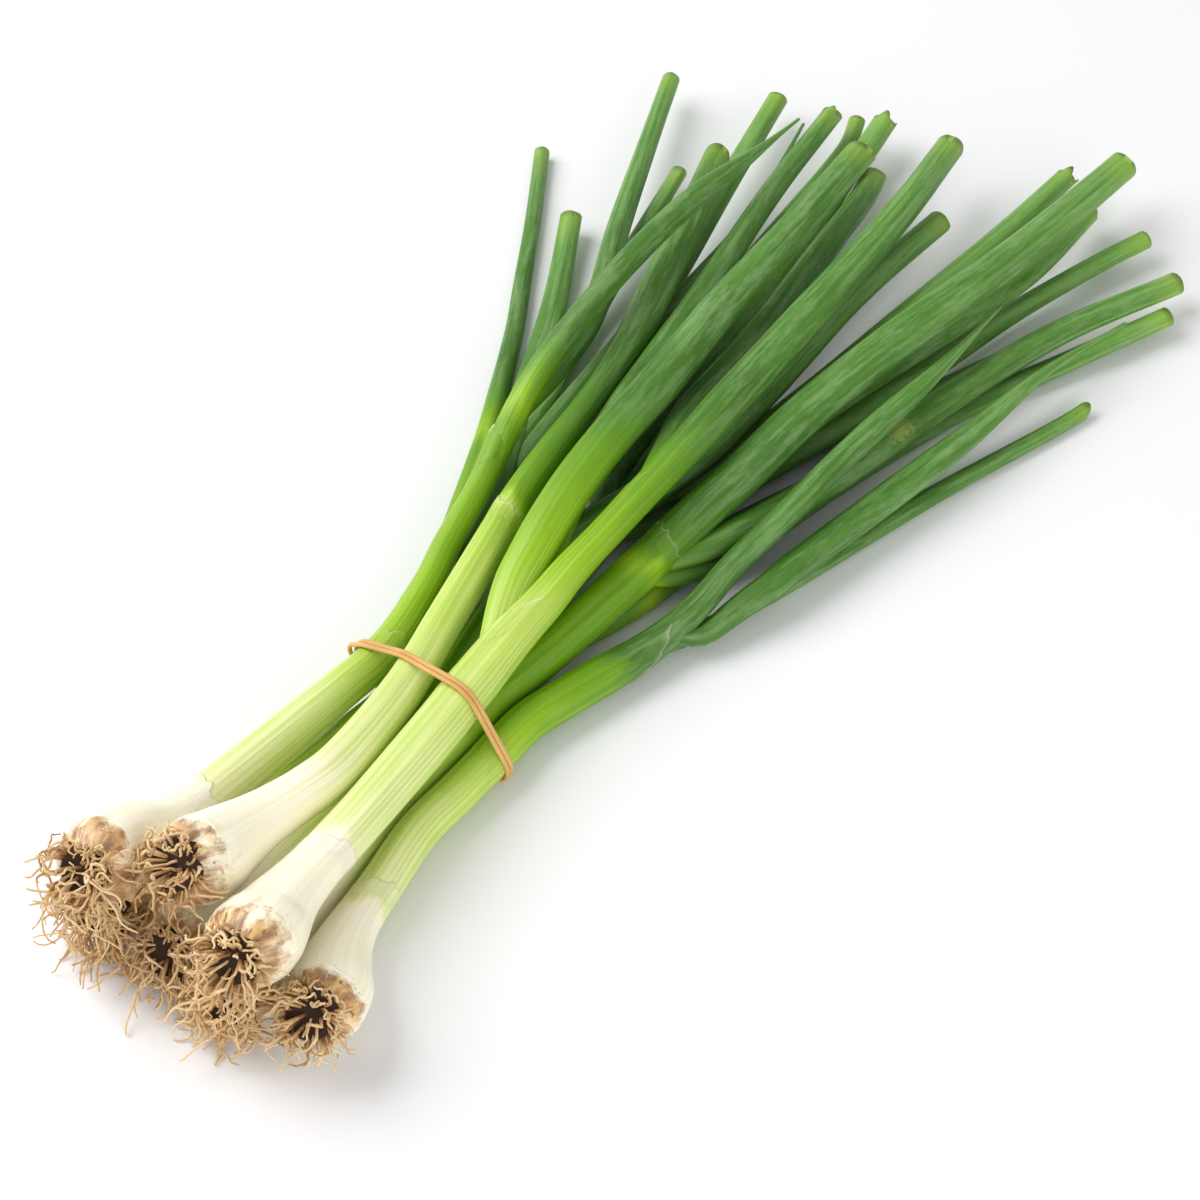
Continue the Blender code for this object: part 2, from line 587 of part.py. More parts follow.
def root_line(number, bases, strands, draw):
    # One root: out of the plate, outwards, and curling down
    base, out = bases[number]
    side = unit(np.cross(out, (0, 0, 1)))
    rise = np.cross(side, out)
    turn = draw.uniform(0, 2 * math.pi)
    spoke = side * math.cos(turn) + rise * math.sin(turn)
    reach = draw.uniform(*ROOT_LENGTHS) * (1 - ROOT_UPPER_LOSS * max(spoke[2], 0))
    start = base + out * (PLATE_PROFILE[2][0] - ROOT_SINK) + spoke * draw.uniform(*ROOT_RING)
    heading = unit(out * draw.uniform(*ROOT_OUTWARD) + spoke)
    line = [start, start + heading * ROOT_SINK * 2]
    for _ in range(ROOT_STEPS):
        wander = draw.uniform(-ROOT_WANDER, ROOT_WANDER, 3)
        heading = unit(heading + wander + spoke * ROOT_SPREAD - np.array((0, 0, ROOT_DROOP)))
        point = line[-1] + heading * reach / ROOT_STEPS
        for _ in range(3):
            point = bend_clear(point, number, bases, strands)
        run = point - line[-1]
        if np.linalg.norm(run) < ROOT_SINK * 2:
            break
        if np.dot(unit(run), unit(line[-1] - line[-2])) < ROOT_FOLD:
            break
        line.append(point)
    return np.array(line)


def build_roots(strands, finish):
    bases = root_bases(strands)
    for number, (base, out) in enumerate(bases):
        draw = np.random.default_rng(ROOT_SEEDS[number])
        side = unit(np.cross(out, (0, 0, 1)))
        rise = np.cross(side, out)
        plate = [ring_points(base + out * depth, side, rise, radius, radius, PLATE_SIDES)
                 for depth, radius in PLATE_PROFILE]
        shapes = [sweep("plate", plate)]
        for _ in range(ROOT_COUNT):
            line = root_line(number, bases, strands, draw)
            _, across, over = frames_of(line)
            thick = np.linspace(*ROOT_THICKNESS, len(line)) / 2
            rings = [ring_points(*row, 3) for row in zip(line, across, over, thick, thick)]
            shapes.append(sweep("root", rings))
        tuft = fuse("roots_" + str(number + 1), shapes[0], shapes[1:], solver="MANIFOLD")
        tuft.data.materials.clear()
        tuft.data.materials.append(finish)


def stem_circles(strands):
    # Where the stems pass the band: middles in the band's plane, with radii
    circles = []
    for strand in strands:
        points = strand["points"]
        if points[:, 0].min() > BAND_X:
            continue
        along = frames_of(points)[0]
        for place in (BAND_X - BAND_REACH, BAND_X, BAND_X + BAND_REACH):
            y, z = [np.interp(place, points[:, 0], points[:, axis]) for axis in (1, 2)]
            radius = np.interp(place, points[:, 0], strand["half"][:, 0] / along[:, 0])
            circles.append((y, z, radius))
    return np.array(circles)


def band_loop(strands):
    # The taut line round the stems as a closed run of points with outward directions
    circles = stem_circles(strands)
    loop, outward, touched = [], [], []
    for angle in np.radians(range(CROSSING_ANGLE, CROSSING_ANGLE + 361)):
        normal = np.array((math.cos(angle), math.sin(angle)))
        reach = circles[:, :2] @ normal + circles[:, 2]
        touched.append(int(np.argmax(reach)))
        best = circles[touched[-1]]
        loop.append(best[:2] + normal * (best[2] + BAND_CLEARANCE + STRAND_THICKNESS / 2))
        outward.append(normal)
    leaves_stem = [k for k in range(1, 360) if touched[k] != touched[k + 1] or touched[k] != touched[k - 1]]
    rings_at = sorted(set(leaves_stem + list(range(0, 360, BAND_TURN))))
    return np.array(loop), np.array(outward), rings_at


def build_band(strands, finish):
    # One closed ring wound twice. Its turns lie side by side and cross low on the bunch's left
    loop, outward, rings_at = band_loop(strands)
    length = np.concatenate([[0], np.cumsum(np.linalg.norm(np.diff(loop, axis=0), axis=1))])
    total = length[-1]
    edge = BAND_CROSSING + CROSSING_MARGIN
    near = spread(-edge, edge, CROSSING_SPACING)
    far = [length[k] for k in rings_at if edge + 1 < length[k] < total - edge - 1]
    offset = (STRAND_WIDTH + STRAND_GAP) / 2
    lift = STRAND_THICKNESS + STRAND_GAP
    rings = []
    for turn in range(2):
        for stop in np.concatenate([near, far]):
            past = stop % total
            y, z, ny, nz = [np.interp(past, length, row) for row in (*loop.T, *outward.T)]
            normal = unit(np.array((0, ny, nz)))
            crossed = ease(stop / CROSSING_LENGTH + 0.5)
            shift = offset * (1 - 2 * crossed) * (1 if turn else -1)
            rise = lift * ease((BAND_CROSSING - abs(stop)) / CROSSING_RAMP) * turn
            centre = np.array((BAND_X + shift, y, z)) + normal * rise
            ring = [centre + np.array((STRAND_WIDTH * u, 0, 0)) + normal * STRAND_THICKNESS * v
                    for u, v in BAND_SECTION]
            rings.append(ring)
    band = sweep("rubber_band", rings, closed=True)
    band.data.materials.append(finish)


def clear_scene():
    for old in list(bpy.data.objects):
        bpy.data.objects.remove(old)


def main():
    clear_scene()
    strands = draw_strands()
    settle(strands)
    build_onions(strands, material("onion_skin", (0.28, 0.46, 0.12), 0.42))
    build_roots(strands, material("root_fibre", (0.45, 0.30, 0.16), 0.85))
    build_band(strands, material("band_rubber", (0.62, 0.36, 0.14), 0.5))


main()
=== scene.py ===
# Spring onion bunch: seven onions with their roots and leaves, held by a doubled rubber band.
# The tables hold millimetres on a plan of the bunch: roots towards -X, leaf tips towards +X, Z up.

import json
import math
import bpy
import bmesh
import numpy as np
from mathutils import Matrix, Vector

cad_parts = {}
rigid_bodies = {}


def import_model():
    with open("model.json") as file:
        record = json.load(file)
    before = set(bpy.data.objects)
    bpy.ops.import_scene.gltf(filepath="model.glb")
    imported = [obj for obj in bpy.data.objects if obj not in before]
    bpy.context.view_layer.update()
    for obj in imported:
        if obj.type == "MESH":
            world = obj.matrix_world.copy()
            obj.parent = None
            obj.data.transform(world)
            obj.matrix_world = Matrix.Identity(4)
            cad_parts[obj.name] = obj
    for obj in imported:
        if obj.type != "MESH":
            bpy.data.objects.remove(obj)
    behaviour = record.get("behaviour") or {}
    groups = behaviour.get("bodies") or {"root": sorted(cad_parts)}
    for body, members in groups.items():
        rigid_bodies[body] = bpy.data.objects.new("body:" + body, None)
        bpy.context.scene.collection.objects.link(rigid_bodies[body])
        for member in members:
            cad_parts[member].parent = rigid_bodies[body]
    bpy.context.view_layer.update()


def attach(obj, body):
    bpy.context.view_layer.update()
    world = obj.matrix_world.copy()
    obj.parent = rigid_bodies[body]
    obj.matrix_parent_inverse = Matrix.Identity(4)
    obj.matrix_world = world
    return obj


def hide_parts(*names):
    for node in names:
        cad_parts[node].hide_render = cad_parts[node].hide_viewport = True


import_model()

scene = bpy.context.scene

plan = {
    "middle": (25.4, 44.5),     # this spot of the plan lies over the origin
    "eye": (-478.0, -430.0, 778.0),
}


def toMetres(points):
    # From the plan in millimetres to the part's own place in metres
    return (np.asarray(points, float) - (*plan["middle"], 0)) * 0.001


def newObject(name, data):
    made = bpy.data.objects.new(name, data)
    scene.collection.objects.link(made)
    return made


def newMaterial(name):
    made = bpy.data.materials.new(name)
    made.use_nodes = True
    return made, made.node_tree, made.node_tree.nodes["Principled BSDF"]


# Camera, lights and floor

camera = {
    "turn": 48.0,        # degrees
    "drop": 50.0,
    "distance": 1000.0,
    "target": (0, 0, 12),
    "lens": 105.0,
    "sensor": 36.0,
    "clip": (0.01, 20.0),     # metres
}

studio = {
    # lengths in metres, powers in watts
    "floor": 6.0,
    "floorHeight": -0.0002,
    "floorColour": (0.885, 0.885, 0.895, 1.0),
    "floorRoughness": 0.9,
    "floorSheen": 0.1,
    "sky": (1.0, 1.0, 1.0, 1.0),
    "skyStrength": 0.48,
    "keyPlace": (-0.42, 0.88, 1.02),
    "keySize": 1.35,
    "keyPower": 20.5,
    "fillPlace": (-0.45, -1.2, 0.5),
    "fillSize": 1.2,
    "fillPower": 8.5,
}


def placeCamera():
    turn, drop = math.radians(camera["turn"]), math.radians(camera["drop"])
    right = Vector((math.cos(turn), -math.sin(turn), 0))
    ahead = Vector((math.sin(turn) * math.cos(drop), math.cos(turn) * math.cos(drop), -math.sin(drop)))
    above = right.cross(ahead)
    made = bpy.data.cameras.new("camera")
    made.lens = camera["lens"]
    made.sensor_width = camera["sensor"]
    made.clip_start, made.clip_end = camera["clip"]
    holder = newObject("camera", made)
    stand = Vector(camera["target"]) - ahead * camera["distance"]
    turned = Matrix((right, above, -ahead)).transposed().to_4x4()
    holder.matrix_world = Matrix.Translation(Vector(toMetres(stand))) @ turned
    scene.camera = holder


def placeLight(name, place, size, power):
    made = bpy.data.lights.new(name, "AREA")
    made.shape = "DISK"
    made.size = size
    made.energy = power
    holder = newObject(name, made)
    holder.location = place
    holder.rotation_euler = (-Vector(place)).to_track_quat("-Z", "Y").to_euler()


def placeStudio():
    world = bpy.data.worlds.new("studio")
    world.use_nodes = True
    world.node_tree.nodes["Background"].inputs["Color"].default_value = studio["sky"]
    world.node_tree.nodes["Background"].inputs["Strength"].default_value = studio["skyStrength"]
    scene.world = world
    scene.view_settings.view_transform = "Standard"
    placeLight("keyLight", studio["keyPlace"], studio["keySize"], studio["keyPower"])
    placeLight("fillLight", studio["fillPlace"], studio["fillSize"], studio["fillPower"])
    work = bmesh.new()
    bmesh.ops.create_grid(work, x_segments=1, y_segments=1, size=studio["floor"] / 2)
    mesh = bpy.data.meshes.new("floor")
    work.to_mesh(mesh)
    work.free()
    floor = newObject("floor", mesh)
    floor.location = (0, 0, studio["floorHeight"])
    paper, _, shader = newMaterial("paleFloor")
    shader.inputs["Base Color"].default_value = studio["floorColour"]
    shader.inputs["Roughness"].default_value = studio["floorRoughness"]
    shader.inputs["Specular IOR Level"].default_value = studio["floorSheen"]
    mesh.materials.append(paper)


placeCamera()
placeStudio()
print("camera, lights and floor placed")


# How the onions lie: drawn lines that sink and push each other apart

# Share of green along each of two onions that lie beneath
lowerGreen = [(0, 0.02), (38, 0.08), (60, 0.3), (100, 0.5), (150, 0.66), (190, 0.82), (230, 0.94),
              (400, 1.0)]

onions = [
    {"name": "onion_1", "bulb": 1.03, "stem": 1, "fork": 205,
     "width": 8, "thickness": 7, "end": "cut",
     "girth": [(60, 1), (110, 0.88), (150, 0.68), (185, 0.62), (208, 0.6), (216, 0.5)],
     "green": [(0, 0.02), (42, 0.06), (48, 0.22), (95, 0.28), (112, 0.4), (128, 0.48), (190, 0.58),
         (206, 0.64), (214, 0.5), (226, 0.66), (240, 0.84), (400, 1)],
     "path": [(-176.5, 16, 36), (-162.5, 19.5, 30), (-128.5, 22.5, 28), (-95, 25, 24), (-61, 28.5, 17),
         (-33.5, 36.5, 18), (-18.5, 42.5, 19), (4, 50, 21), (26, 58.5, 24), (47.5, 62, 25),
         (75, 70.5, 24), (112, 93, 19), (146, 112, 16), (179, 130, 14)]},
    {"name": "onion_2", "bulb": 1, "stem": 1, "fork": 215,
     "width": 11.4, "thickness": 8.2, "end": "slant",
     "girth": [(60, 1), (110, 0.84), (150, 0.82), (180, 0.76), (215, 0.62)],
     "green": [(0, 0.02), (38, 0.05), (46, 0.12), (62, 0.24), (112, 0.33), (150, 0.4), (165, 0.45),
         (169, 0.35), (174, 0.6), (215, 0.78), (260, 0.9), (400, 0.96)],
     "path": [(-159, 6.5, 42), (-146.5, 7, 34), (-113.5, 2.5, 32), (-98, 4, 29), (-69, 11, 26),
         (-43, 20, 25), (-22, 27, 25), (2, 35, 25), (22, 40, 26), (46, 45, 27), (69, 51, 28),
         (92, 60, 28), (125, 75, 26), (155, 89, 24)]},
    {"name": "onion_3", "bulb": 1.04, "stem": 1.02, "fork": 198,
     "width": 11.8, "thickness": 11, "end": "cut",
     "girth": [(60, 1), (90, 1.04), (120, 1.04), (150, 0.84), (175, 0.7), (200, 0.7)],
     "green": [(0, 0.02), (47, 0.05), (52, 0.2), (70, 0.26), (110, 0.32), (148, 0.4), (165, 0.5),
         (180, 0.57), (205, 0.66), (225, 0.8), (260, 0.9), (400, 0.96)],
     "path": [(-169, -26, 38), (-155, -22, 32), (-141, -18.5, 32), (-111, -14, 31), (-78, -7, 27),
         (-57, -2, 24), (-38, 1, 26), (-15, 3, 30), (9, 4, 33), (47, 7, 36), (101, 14, 35),
         (164, 25, 30), (204, 35, 26)]},
    {"name": "onion_4", "bulb": 0.98, "stem": 0.87, "fork": 152,
     "width": 7.8, "thickness": 7.2, "end": "point", "pointFrom": 0.62,
     "girth": [(60, 1), (145, 1), (170, 0.85)],
     "green": [(0, 0.02), (40, 0.04), (45, 0.22), (80, 0.32), (105, 0.46), (125, 0.58), (150, 0.62),
         (158, 0.86), (400, 0.98)],
     "path": [(-159.5, -38.5, 20), (-150, -34, 13), (-129.5, -26.5, 11), (-112.5, -22, 10),
         (-93, -16.5, 10), (-75, -15, 9), (-48.5, -12, 9), (-36, -14.5, 10), (-17, -19, 11),
         (-3.5, -22, 12), (13, -24, 15), (30, -23.5, 19), (47, -24, 22), (59, -24.5, 24),
         (82, -24, 26), (123, -24, 28), (157, -21, 27)]},
    {"name": "onion_5", "bulb": 0.92, "stem": 0.93, "fork": 205,
     "width": 12.8, "thickness": 11, "end": "cut",
     "girth": [(60, 1), (205, 1)],
     "green": [(0, 0.02), (45, 0.1), (60, 0.3), (100, 0.45), (120, 0.6), (178, 0.64), (186, 0.5),
         (194, 0.74), (225, 0.88), (400, 0.98)],
     "path": [(-169, -21, 17), (-155, -17, 12), (-110, -9, 11), (-78, -3, 9), (-51.5, -0.5, 9),
         (-20.5, -3, 14), (3, -4, 17), (27.5, -4.5, 20), (49.5, -6, 24), (78.5, -6, 28),
         (106.5, -8, 31), (128.5, -10, 32), (160.5, -12, 31), (189, -11.5, 28), (236, -9, 23)]},
    {"name": "onion_6", "bulb": 0.92, "stem": 0.8, "fork": 185,
     "width": 10.4, "thickness": 8.8, "end": "cut",
     "girth": [(60, 1), (185, 1)],
     "green": lowerGreen,
     "path": [(-169, 0, 17), (-155, 4, 12), (-110, 7, 11), (-80, 10, 9), (-57, 10, 8), (-25, 19, 9),
         (5, 20, 14), (40, 11, 22), (79, 11, 24), (133, 18, 22), (182, 21, 18)]},
    {"name": "onion_7", "bulb": 0.92, "stem": 0.78, "fork": 190,
     "width": 9, "thickness": 7.4, "end": "cut",
     "girth": [(60, 1), (190, 0.9)],
     "green": lowerGreen,
     "path": [(-171, 21, 17), (-157, 24, 12), (-110, 21, 11), (-80, 21, 9), (-57, 21, 7), (-25, 33, 7),
         (5, 49, 7), (45, 71, 7), (81, 92, 8), (112, 113, 11)]},
]

# The other leaves of each onion. The first spot lies on the onion's own centre line.
leaves = {
    "onion_1": [
        {"name": "outer", "width": 6.4, "thickness": 5.8, "end": "cut",
         "path": [(-48, 31, 18), (-14, 47, 13), (23, 67, 10), (62, 92, 7), (84, 108, 6), (106, 124, 6),
             (131, 143, 7)]},
        {"name": "crossing", "width": 7.8, "thickness": 6.6, "end": "point",
         "pointFrom": 0.68, "swell": 15,
         "path": [(4, 50, 21), (29.5, 58.5, 29), (46.5, 61, 36), (75.5, 64.5, 41), (105, 68, 42),
             (128, 70, 40), (152, 72, 36), (176, 74.5, 32)]}],
    "onion_2": [
        {"name": "inner", "width": 7.4, "thickness": 5.8, "end": "point",
         "path": [(30, 44, 27), (56, 49, 23), (87, 55, 21), (135, 63, 19), (191, 84, 14)]}],
    "onion_3": [
        {"name": "left", "width": 13, "thickness": 9.8, "end": "cut",
         "path": [(-56, -2, 25), (-28, 9.5, 28), (-11.5, 15, 31), (11.5, 21.5, 34), (34, 25.5, 36),
             (58, 28.5, 37), (95, 35.5, 37), (131, 41.5, 35), (179.5, 51.5, 30)]},
        {"name": "young", "width": 11, "thickness": 7.6, "end": "cut",
         "path": [(12, 4, 33), (47, 14, 29), (69, 21, 26), (103, 28, 22), (143, 39, 18),
             (187, 52, 15)]},
        {"name": "ridge", "width": 9.2, "thickness": 7, "end": "torn",
         "path": [(-38, 1, 26), (-4, 16, 24), (26, 28, 26), (48, 36, 27), (70, 42, 27), (98, 48, 28),
             (149, 63, 26), (195, 75, 22)]}],
    "onion_4": [
        {"name": "right", "width": 9.6, "thickness": 7.6, "end": "point",
         "path": [(-6.5, -21, 11), (9, -29.5, 11), (23.5, -31.5, 12), (36.5, -33.5, 13),
             (48.5, -34.5, 14), (111, -41, 17), (154, -43, 18), (185, -48, 17)]},
        {"name": "low", "width": 6.4, "thickness": 5.8, "end": "slant",
         "path": [(-20, -21, 10), (20, -29, 8), (72, -37, 5), (108, -44, 5), (148, -54, 6),
             (158, -56, 7)]}],
    "onion_5": [
        {"name": "low", "width": 9, "thickness": 6.4, "end": "point",
         "path": [(-40, -3, 12), (-8, -3, 7), (15, -6, 6), (43, -8, 5), (75, -12, 6), (106, -18, 7)]},
        {"name": "folded", "width": 7, "thickness": 5.6, "end": "slant",
         "path": [(24, -5, 20), (50, -4, 20), (87, -5, 20), (137, -10, 19), (181, -14, 17),
             (222, -9, 13)]},
        {"name": "wide", "width": 10, "thickness": 7.8, "end": "cut",
         "path": [(4, -5, 18), (34, -12, 15), (78, -21, 14), (126, -27, 16), (170, -35, 16),
             (213, -48, 14)]},
        {"name": "under", "width": 8.8, "thickness": 7.2, "end": "cut",
         "path": [(-2, -5, 17), (30, -12, 10), (89, -19, 6), (132, -28, 7), (165, -40, 9),
             (202, -53, 11)]}],
    "onion_6": [
        {"name": "middle", "width": 9, "thickness": 7, "end": "point",
         "path": [(-30, 18, 9), (-5, 13, 11), (29, 19, 12), (71, 28, 13), (112, 35, 15),
             (154, 43, 18)]},
        {"name": "torn", "width": 9.4, "thickness": 7.4, "end": "torn",
         "path": [(20, 17, 17), (50, 8, 15), (97, 5, 15), (143, 4, 16), (192, 4, 16), (229, 5, 16)]},
        {"name": "left", "width": 10, "thickness": 7.6, "end": "torn",
         "path": [(8, 19, 14), (44, 31, 12), (79, 37, 13), (109, 41, 15), (143, 46, 17),
             (178, 54.5, 18), (208.5, 63.5, 18)]},
        {"name": "right", "width": 8.2, "thickness": 7, "end": "cut",
         "path": [(2, 20, 13), (40, 8, 8), (93, -4, 8), (132, -11, 9), (171, -16, 10), (206, -24, 12),
             (223, -29, 13)]},
        {"name": "low", "width": 6.2, "thickness": 5.2, "end": "point",
         "path": [(-4, 21, 12), (36, 14, 5), (80, 2, 4), (121, -12, 5), (162, -23, 6),
             (194, -36, 8)]}],
    "onion_7": [
        {"name": "thin", "width": 7, "thickness": 6, "end": "cut",
         "path": [(12, 53, 7), (44, 65, 8), (80, 78, 9), (111, 88, 11), (149.5, 100.5, 12)]},
        {"name": "mid", "width": 9, "thickness": 7, "end": "cut",
         "path": [(2, 48, 7), (34, 56, 9), (66, 60, 12), (99, 66, 14), (151, 83, 15), (195, 98, 14)]},
        {"name": "inner", "width": 7.2, "thickness": 6.2, "end": "cut",
         "path": [(-8, 43, 7), (30, 45, 7), (70, 47, 7), (130, 58, 9), (189, 67, 12), (205, 73, 13)]}],
}

growth = {
    # distance from the root plate and radius, from the blunt base to the even stem
    "bulb": [(0, 6.8), (1.5, 8.8), (5, 11), (10, 12), (16, 11.6), (23, 9.9), (32, 7.9), (43, 6.9),
        (75, 6.7)],
    "bulbFade": (10, 50),
    "forkBlend": 45,
    "leafStart": 0.55,
    "leafSwell": 55,
    "cutTaper": (0.24, 0.4),      # share of the width lost, and where that starts
    "pointTaper": (0.86, 0.5),
}

settling = {
    "drawing": 0.05,       # share of the way from one drawn spot to the next
    "step": 5.0,
    "joined": 3,           # spots that a leaf shares with its onion
    "gap": 0.6,
    "forkReach": 38.0,
    "turns": 260,
    "lastTurns": 0.75,
    "fall": 0.05,
    "floorShare": 0.93,
    "sightPull": (0.12, 0.02),
    "bendPull": (0.4, 0.2),
    "noFork": 1e6,
    "pairReach": 26.0,
    "pairBlock": 400,
    "pairEvery": 20,
    "pairSlice": 0.7,
    "bulbSpots": 3,        # this many at the root end keep the slope that they are drawn with
    "bandRoom": 2.1,
    "bandRise": 25.0,
}

band = {
    "place": -60.0,
    "width": 1.2,
    "thickness": 1.0,
    "clearance": 0.35,
    "gap": 0.3,
    "crossing": 9.0,
    "crossingLength": 8.0,
    "crossingRamp": 4.0,
    "reach": 2.5,
    "crossingAngle": -30,       # degrees from +Y, low on the left
}


def unit(vectors):
    vectors = np.asarray(vectors, float)
    return vectors / np.linalg.norm(vectors, axis=-1, keepdims=True)


def travelled(points):
    return np.concatenate([[0], np.cumsum(np.linalg.norm(np.diff(points, axis=0), axis=1))])


def columnsAt(wanted, length, table):
    # Every column of a table that runs along a line, at the wanted lengths
    return np.column_stack([np.interp(wanted, length, column) for column in table.T])


def resample(points, step):
    length = travelled(points)
    count = max(2, int(round(length[-1] / step)) + 1)
    wanted = np.linspace(0, length[-1], count)
    return columnsAt(wanted, length, points)


def curveThrough(points, step):
    # Spots an even step apart on a smooth curve through the drawn ones
    points = np.asarray(points, float)
    ends = np.vstack([2 * points[0] - points[1], points, 2 * points[-1] - points[-2]])
    fine = []
    for before, start, end, after in zip(ends, ends[1:], ends[2:], ends[3:]):
        for t in np.arange(0, 1, settling["drawing"]):
            fine.append(0.5 * (2 * start + (end - before) * t
                               + (2 * before - 5 * start + 4 * end - after) * t ** 2
                               + (3 * start - before - 3 * end + after) * t ** 3))
    fine.append(points[-1])
    return resample(np.array(fine), step)


def readOff(table, wanted):
    # The second column of a table at the wanted values of the first
    return np.interp(wanted, *np.array(table).T)


def ease(share):
    share = np.clip(share, 0, 1)
    return share * share * (3 - 2 * share)


def tipShare(length, total, leaf):
    taper, start = growth["pointTaper"] if leaf["end"] == "point" else growth["cutTaper"]
    start = leaf.get("pointFrom", start)
    return 1 - taper * ease((length / total - start) / (1 - start))


def onionHalves(onion, length):
    # Half width and half thickness along an onion's main line
    fade = 1 - ease((length - growth["bulbFade"][0]) / growth["bulbFade"][1])
    size = onion["stem"] + (onion["bulb"] - onion["stem"]) * fade
    stem = readOff(growth["bulb"], length) * size
    stem *= readOff(onion["girth"], length)
    leaf = tipShare(length - onion["fork"], length[-1] - onion["fork"], onion)
    share = ease((length - onion["fork"]) / growth["forkBlend"])
    wide = stem * (1 - share) + onion["width"] / 2 * leaf * share
    thick = stem * (1 - share) + onion["thickness"] / 2 * leaf * share
    return np.column_stack([wide, thick])


def leafHalves(leaf, length):
    swell = leaf.get("swell", growth["leafSwell"])
    grown = growth["leafStart"] + (1 - growth["leafStart"]) * ease(length / swell)
    shape = tipShare(length, length[-1], leaf) * grown
    return np.column_stack([leaf["width"] / 2 * shape, leaf["thickness"] / 2 * shape])


def drawStrands():
    # Every main line and every further leaf as one strand of evenly spaced spots
    strands = []
    for number, onion in enumerate(onions):
        points = curveThrough(onion["path"], settling["step"])
        length = travelled(points)
        strands.append({"plant": number, "parent": None, "points": points, "end": onion["end"],
                        "half": onionHalves(onion, length), "length": length, "name": onion["name"],
                        "from": 0.0})
    mains = {strand["name"]: strand for strand in strands}
    for plant, leaf in [(plant, leaf) for plant in leaves for leaf in leaves[plant]]:
        parent = mains[plant]
        root = int(np.argmin(np.linalg.norm(parent["points"] - np.array(leaf["path"][0]), axis=1)))
        shared = [parent["points"][root], parent["points"][root + settling["joined"] - 1]]
        points = curveThrough(shared + leaf["path"][1:], settling["step"])
        length = travelled(points)
        strands.append({"plant": parent["plant"], "parent": parent, "root": root, "points": points,
                        "end": leaf["end"], "half": leafHalves(leaf, length), "length": length,
                        "name": plant + "_" + leaf["name"], "from": parent["length"][root]})
    return strands


def framesOf(points):
    # Direction along a line, and the sideways and upward directions of its cross-sections
    along = unit(np.gradient(points, axis=0))
    side = unit(np.cross(along, (0, 0, 1)))
    return along, side, np.cross(side, along)


def reachTowards(direction, side, rise, half):
    across = np.sum(direction * side, axis=1) * half[:, 0]
    up = np.sum(direction * rise, axis=1) * half[:, 1]
    return np.hypot(across, up)


def closePairs(place, strandOf, plantOf, free):
    first, second = [], []
    for start in range(0, len(place), settling["pairBlock"]):
        block = place[start:start + settling["pairBlock"], None]
        apart = np.linalg.norm(block - place[None], axis=2)
        rows, columns = np.nonzero(apart < settling["pairReach"])
        rows = rows + start
        other = strandOf[rows] != strandOf[columns]
        longer = np.minimum(free[rows], free[columns]) > settling["forkReach"]
        keep = other & ((plantOf[rows] != plantOf[columns]) | longer)
        first.append(rows[keep])
        second.append(columns[keep])
    return np.concatenate(first), np.concatenate(second)


def pushApart(place, half, spans, first, second):
    along, side, rise = np.empty_like(place), np.empty_like(place), np.empty_like(place)
    for span in spans:
        along[span], side[span], rise[span] = framesOf(place[span])
    offset = place[first] - place[second]
    axial = np.sum(offset * along[second], axis=1)
    beside = offset - axial[:, None] * along[second]
    distance = np.linalg.norm(beside, axis=1) + 1e-9
    direction = beside / distance[:, None]
    needed = (reachTowards(direction, side[first], rise[first], half[first])
              + reachTowards(direction, side[second], rise[second], half[second]) + settling["gap"])
    overlap = np.where(np.abs(axial) < settling["pairSlice"] * settling["step"], needed - distance, 0)
    hit = overlap > 0
    move = direction[hit] * overlap[hit, None] * 0.5
    total, touches = np.zeros_like(place), np.zeros(len(place))
    np.add.at(total, first[hit], move)
    np.add.at(total, second[hit], -move)
    np.add.at(touches, first[hit], 1)
    np.add.at(touches, second[hit], 1)
    place += total / np.maximum(touches, 1)[:, None]
    floor = settling["floorShare"] * np.hypot(side[:, 2] * half[:, 0], rise[:, 2] * half[:, 1])
    nearBand = np.exp(-((place[:, 0] - band["place"]) / settling["bandRise"]) ** 2)
    sunk = (1 - settling["floorShare"]) * half[:, 1]
    place[:, 2] = np.maximum(place[:, 2], floor + (settling["bandRoom"] + sunk) * nearBand)


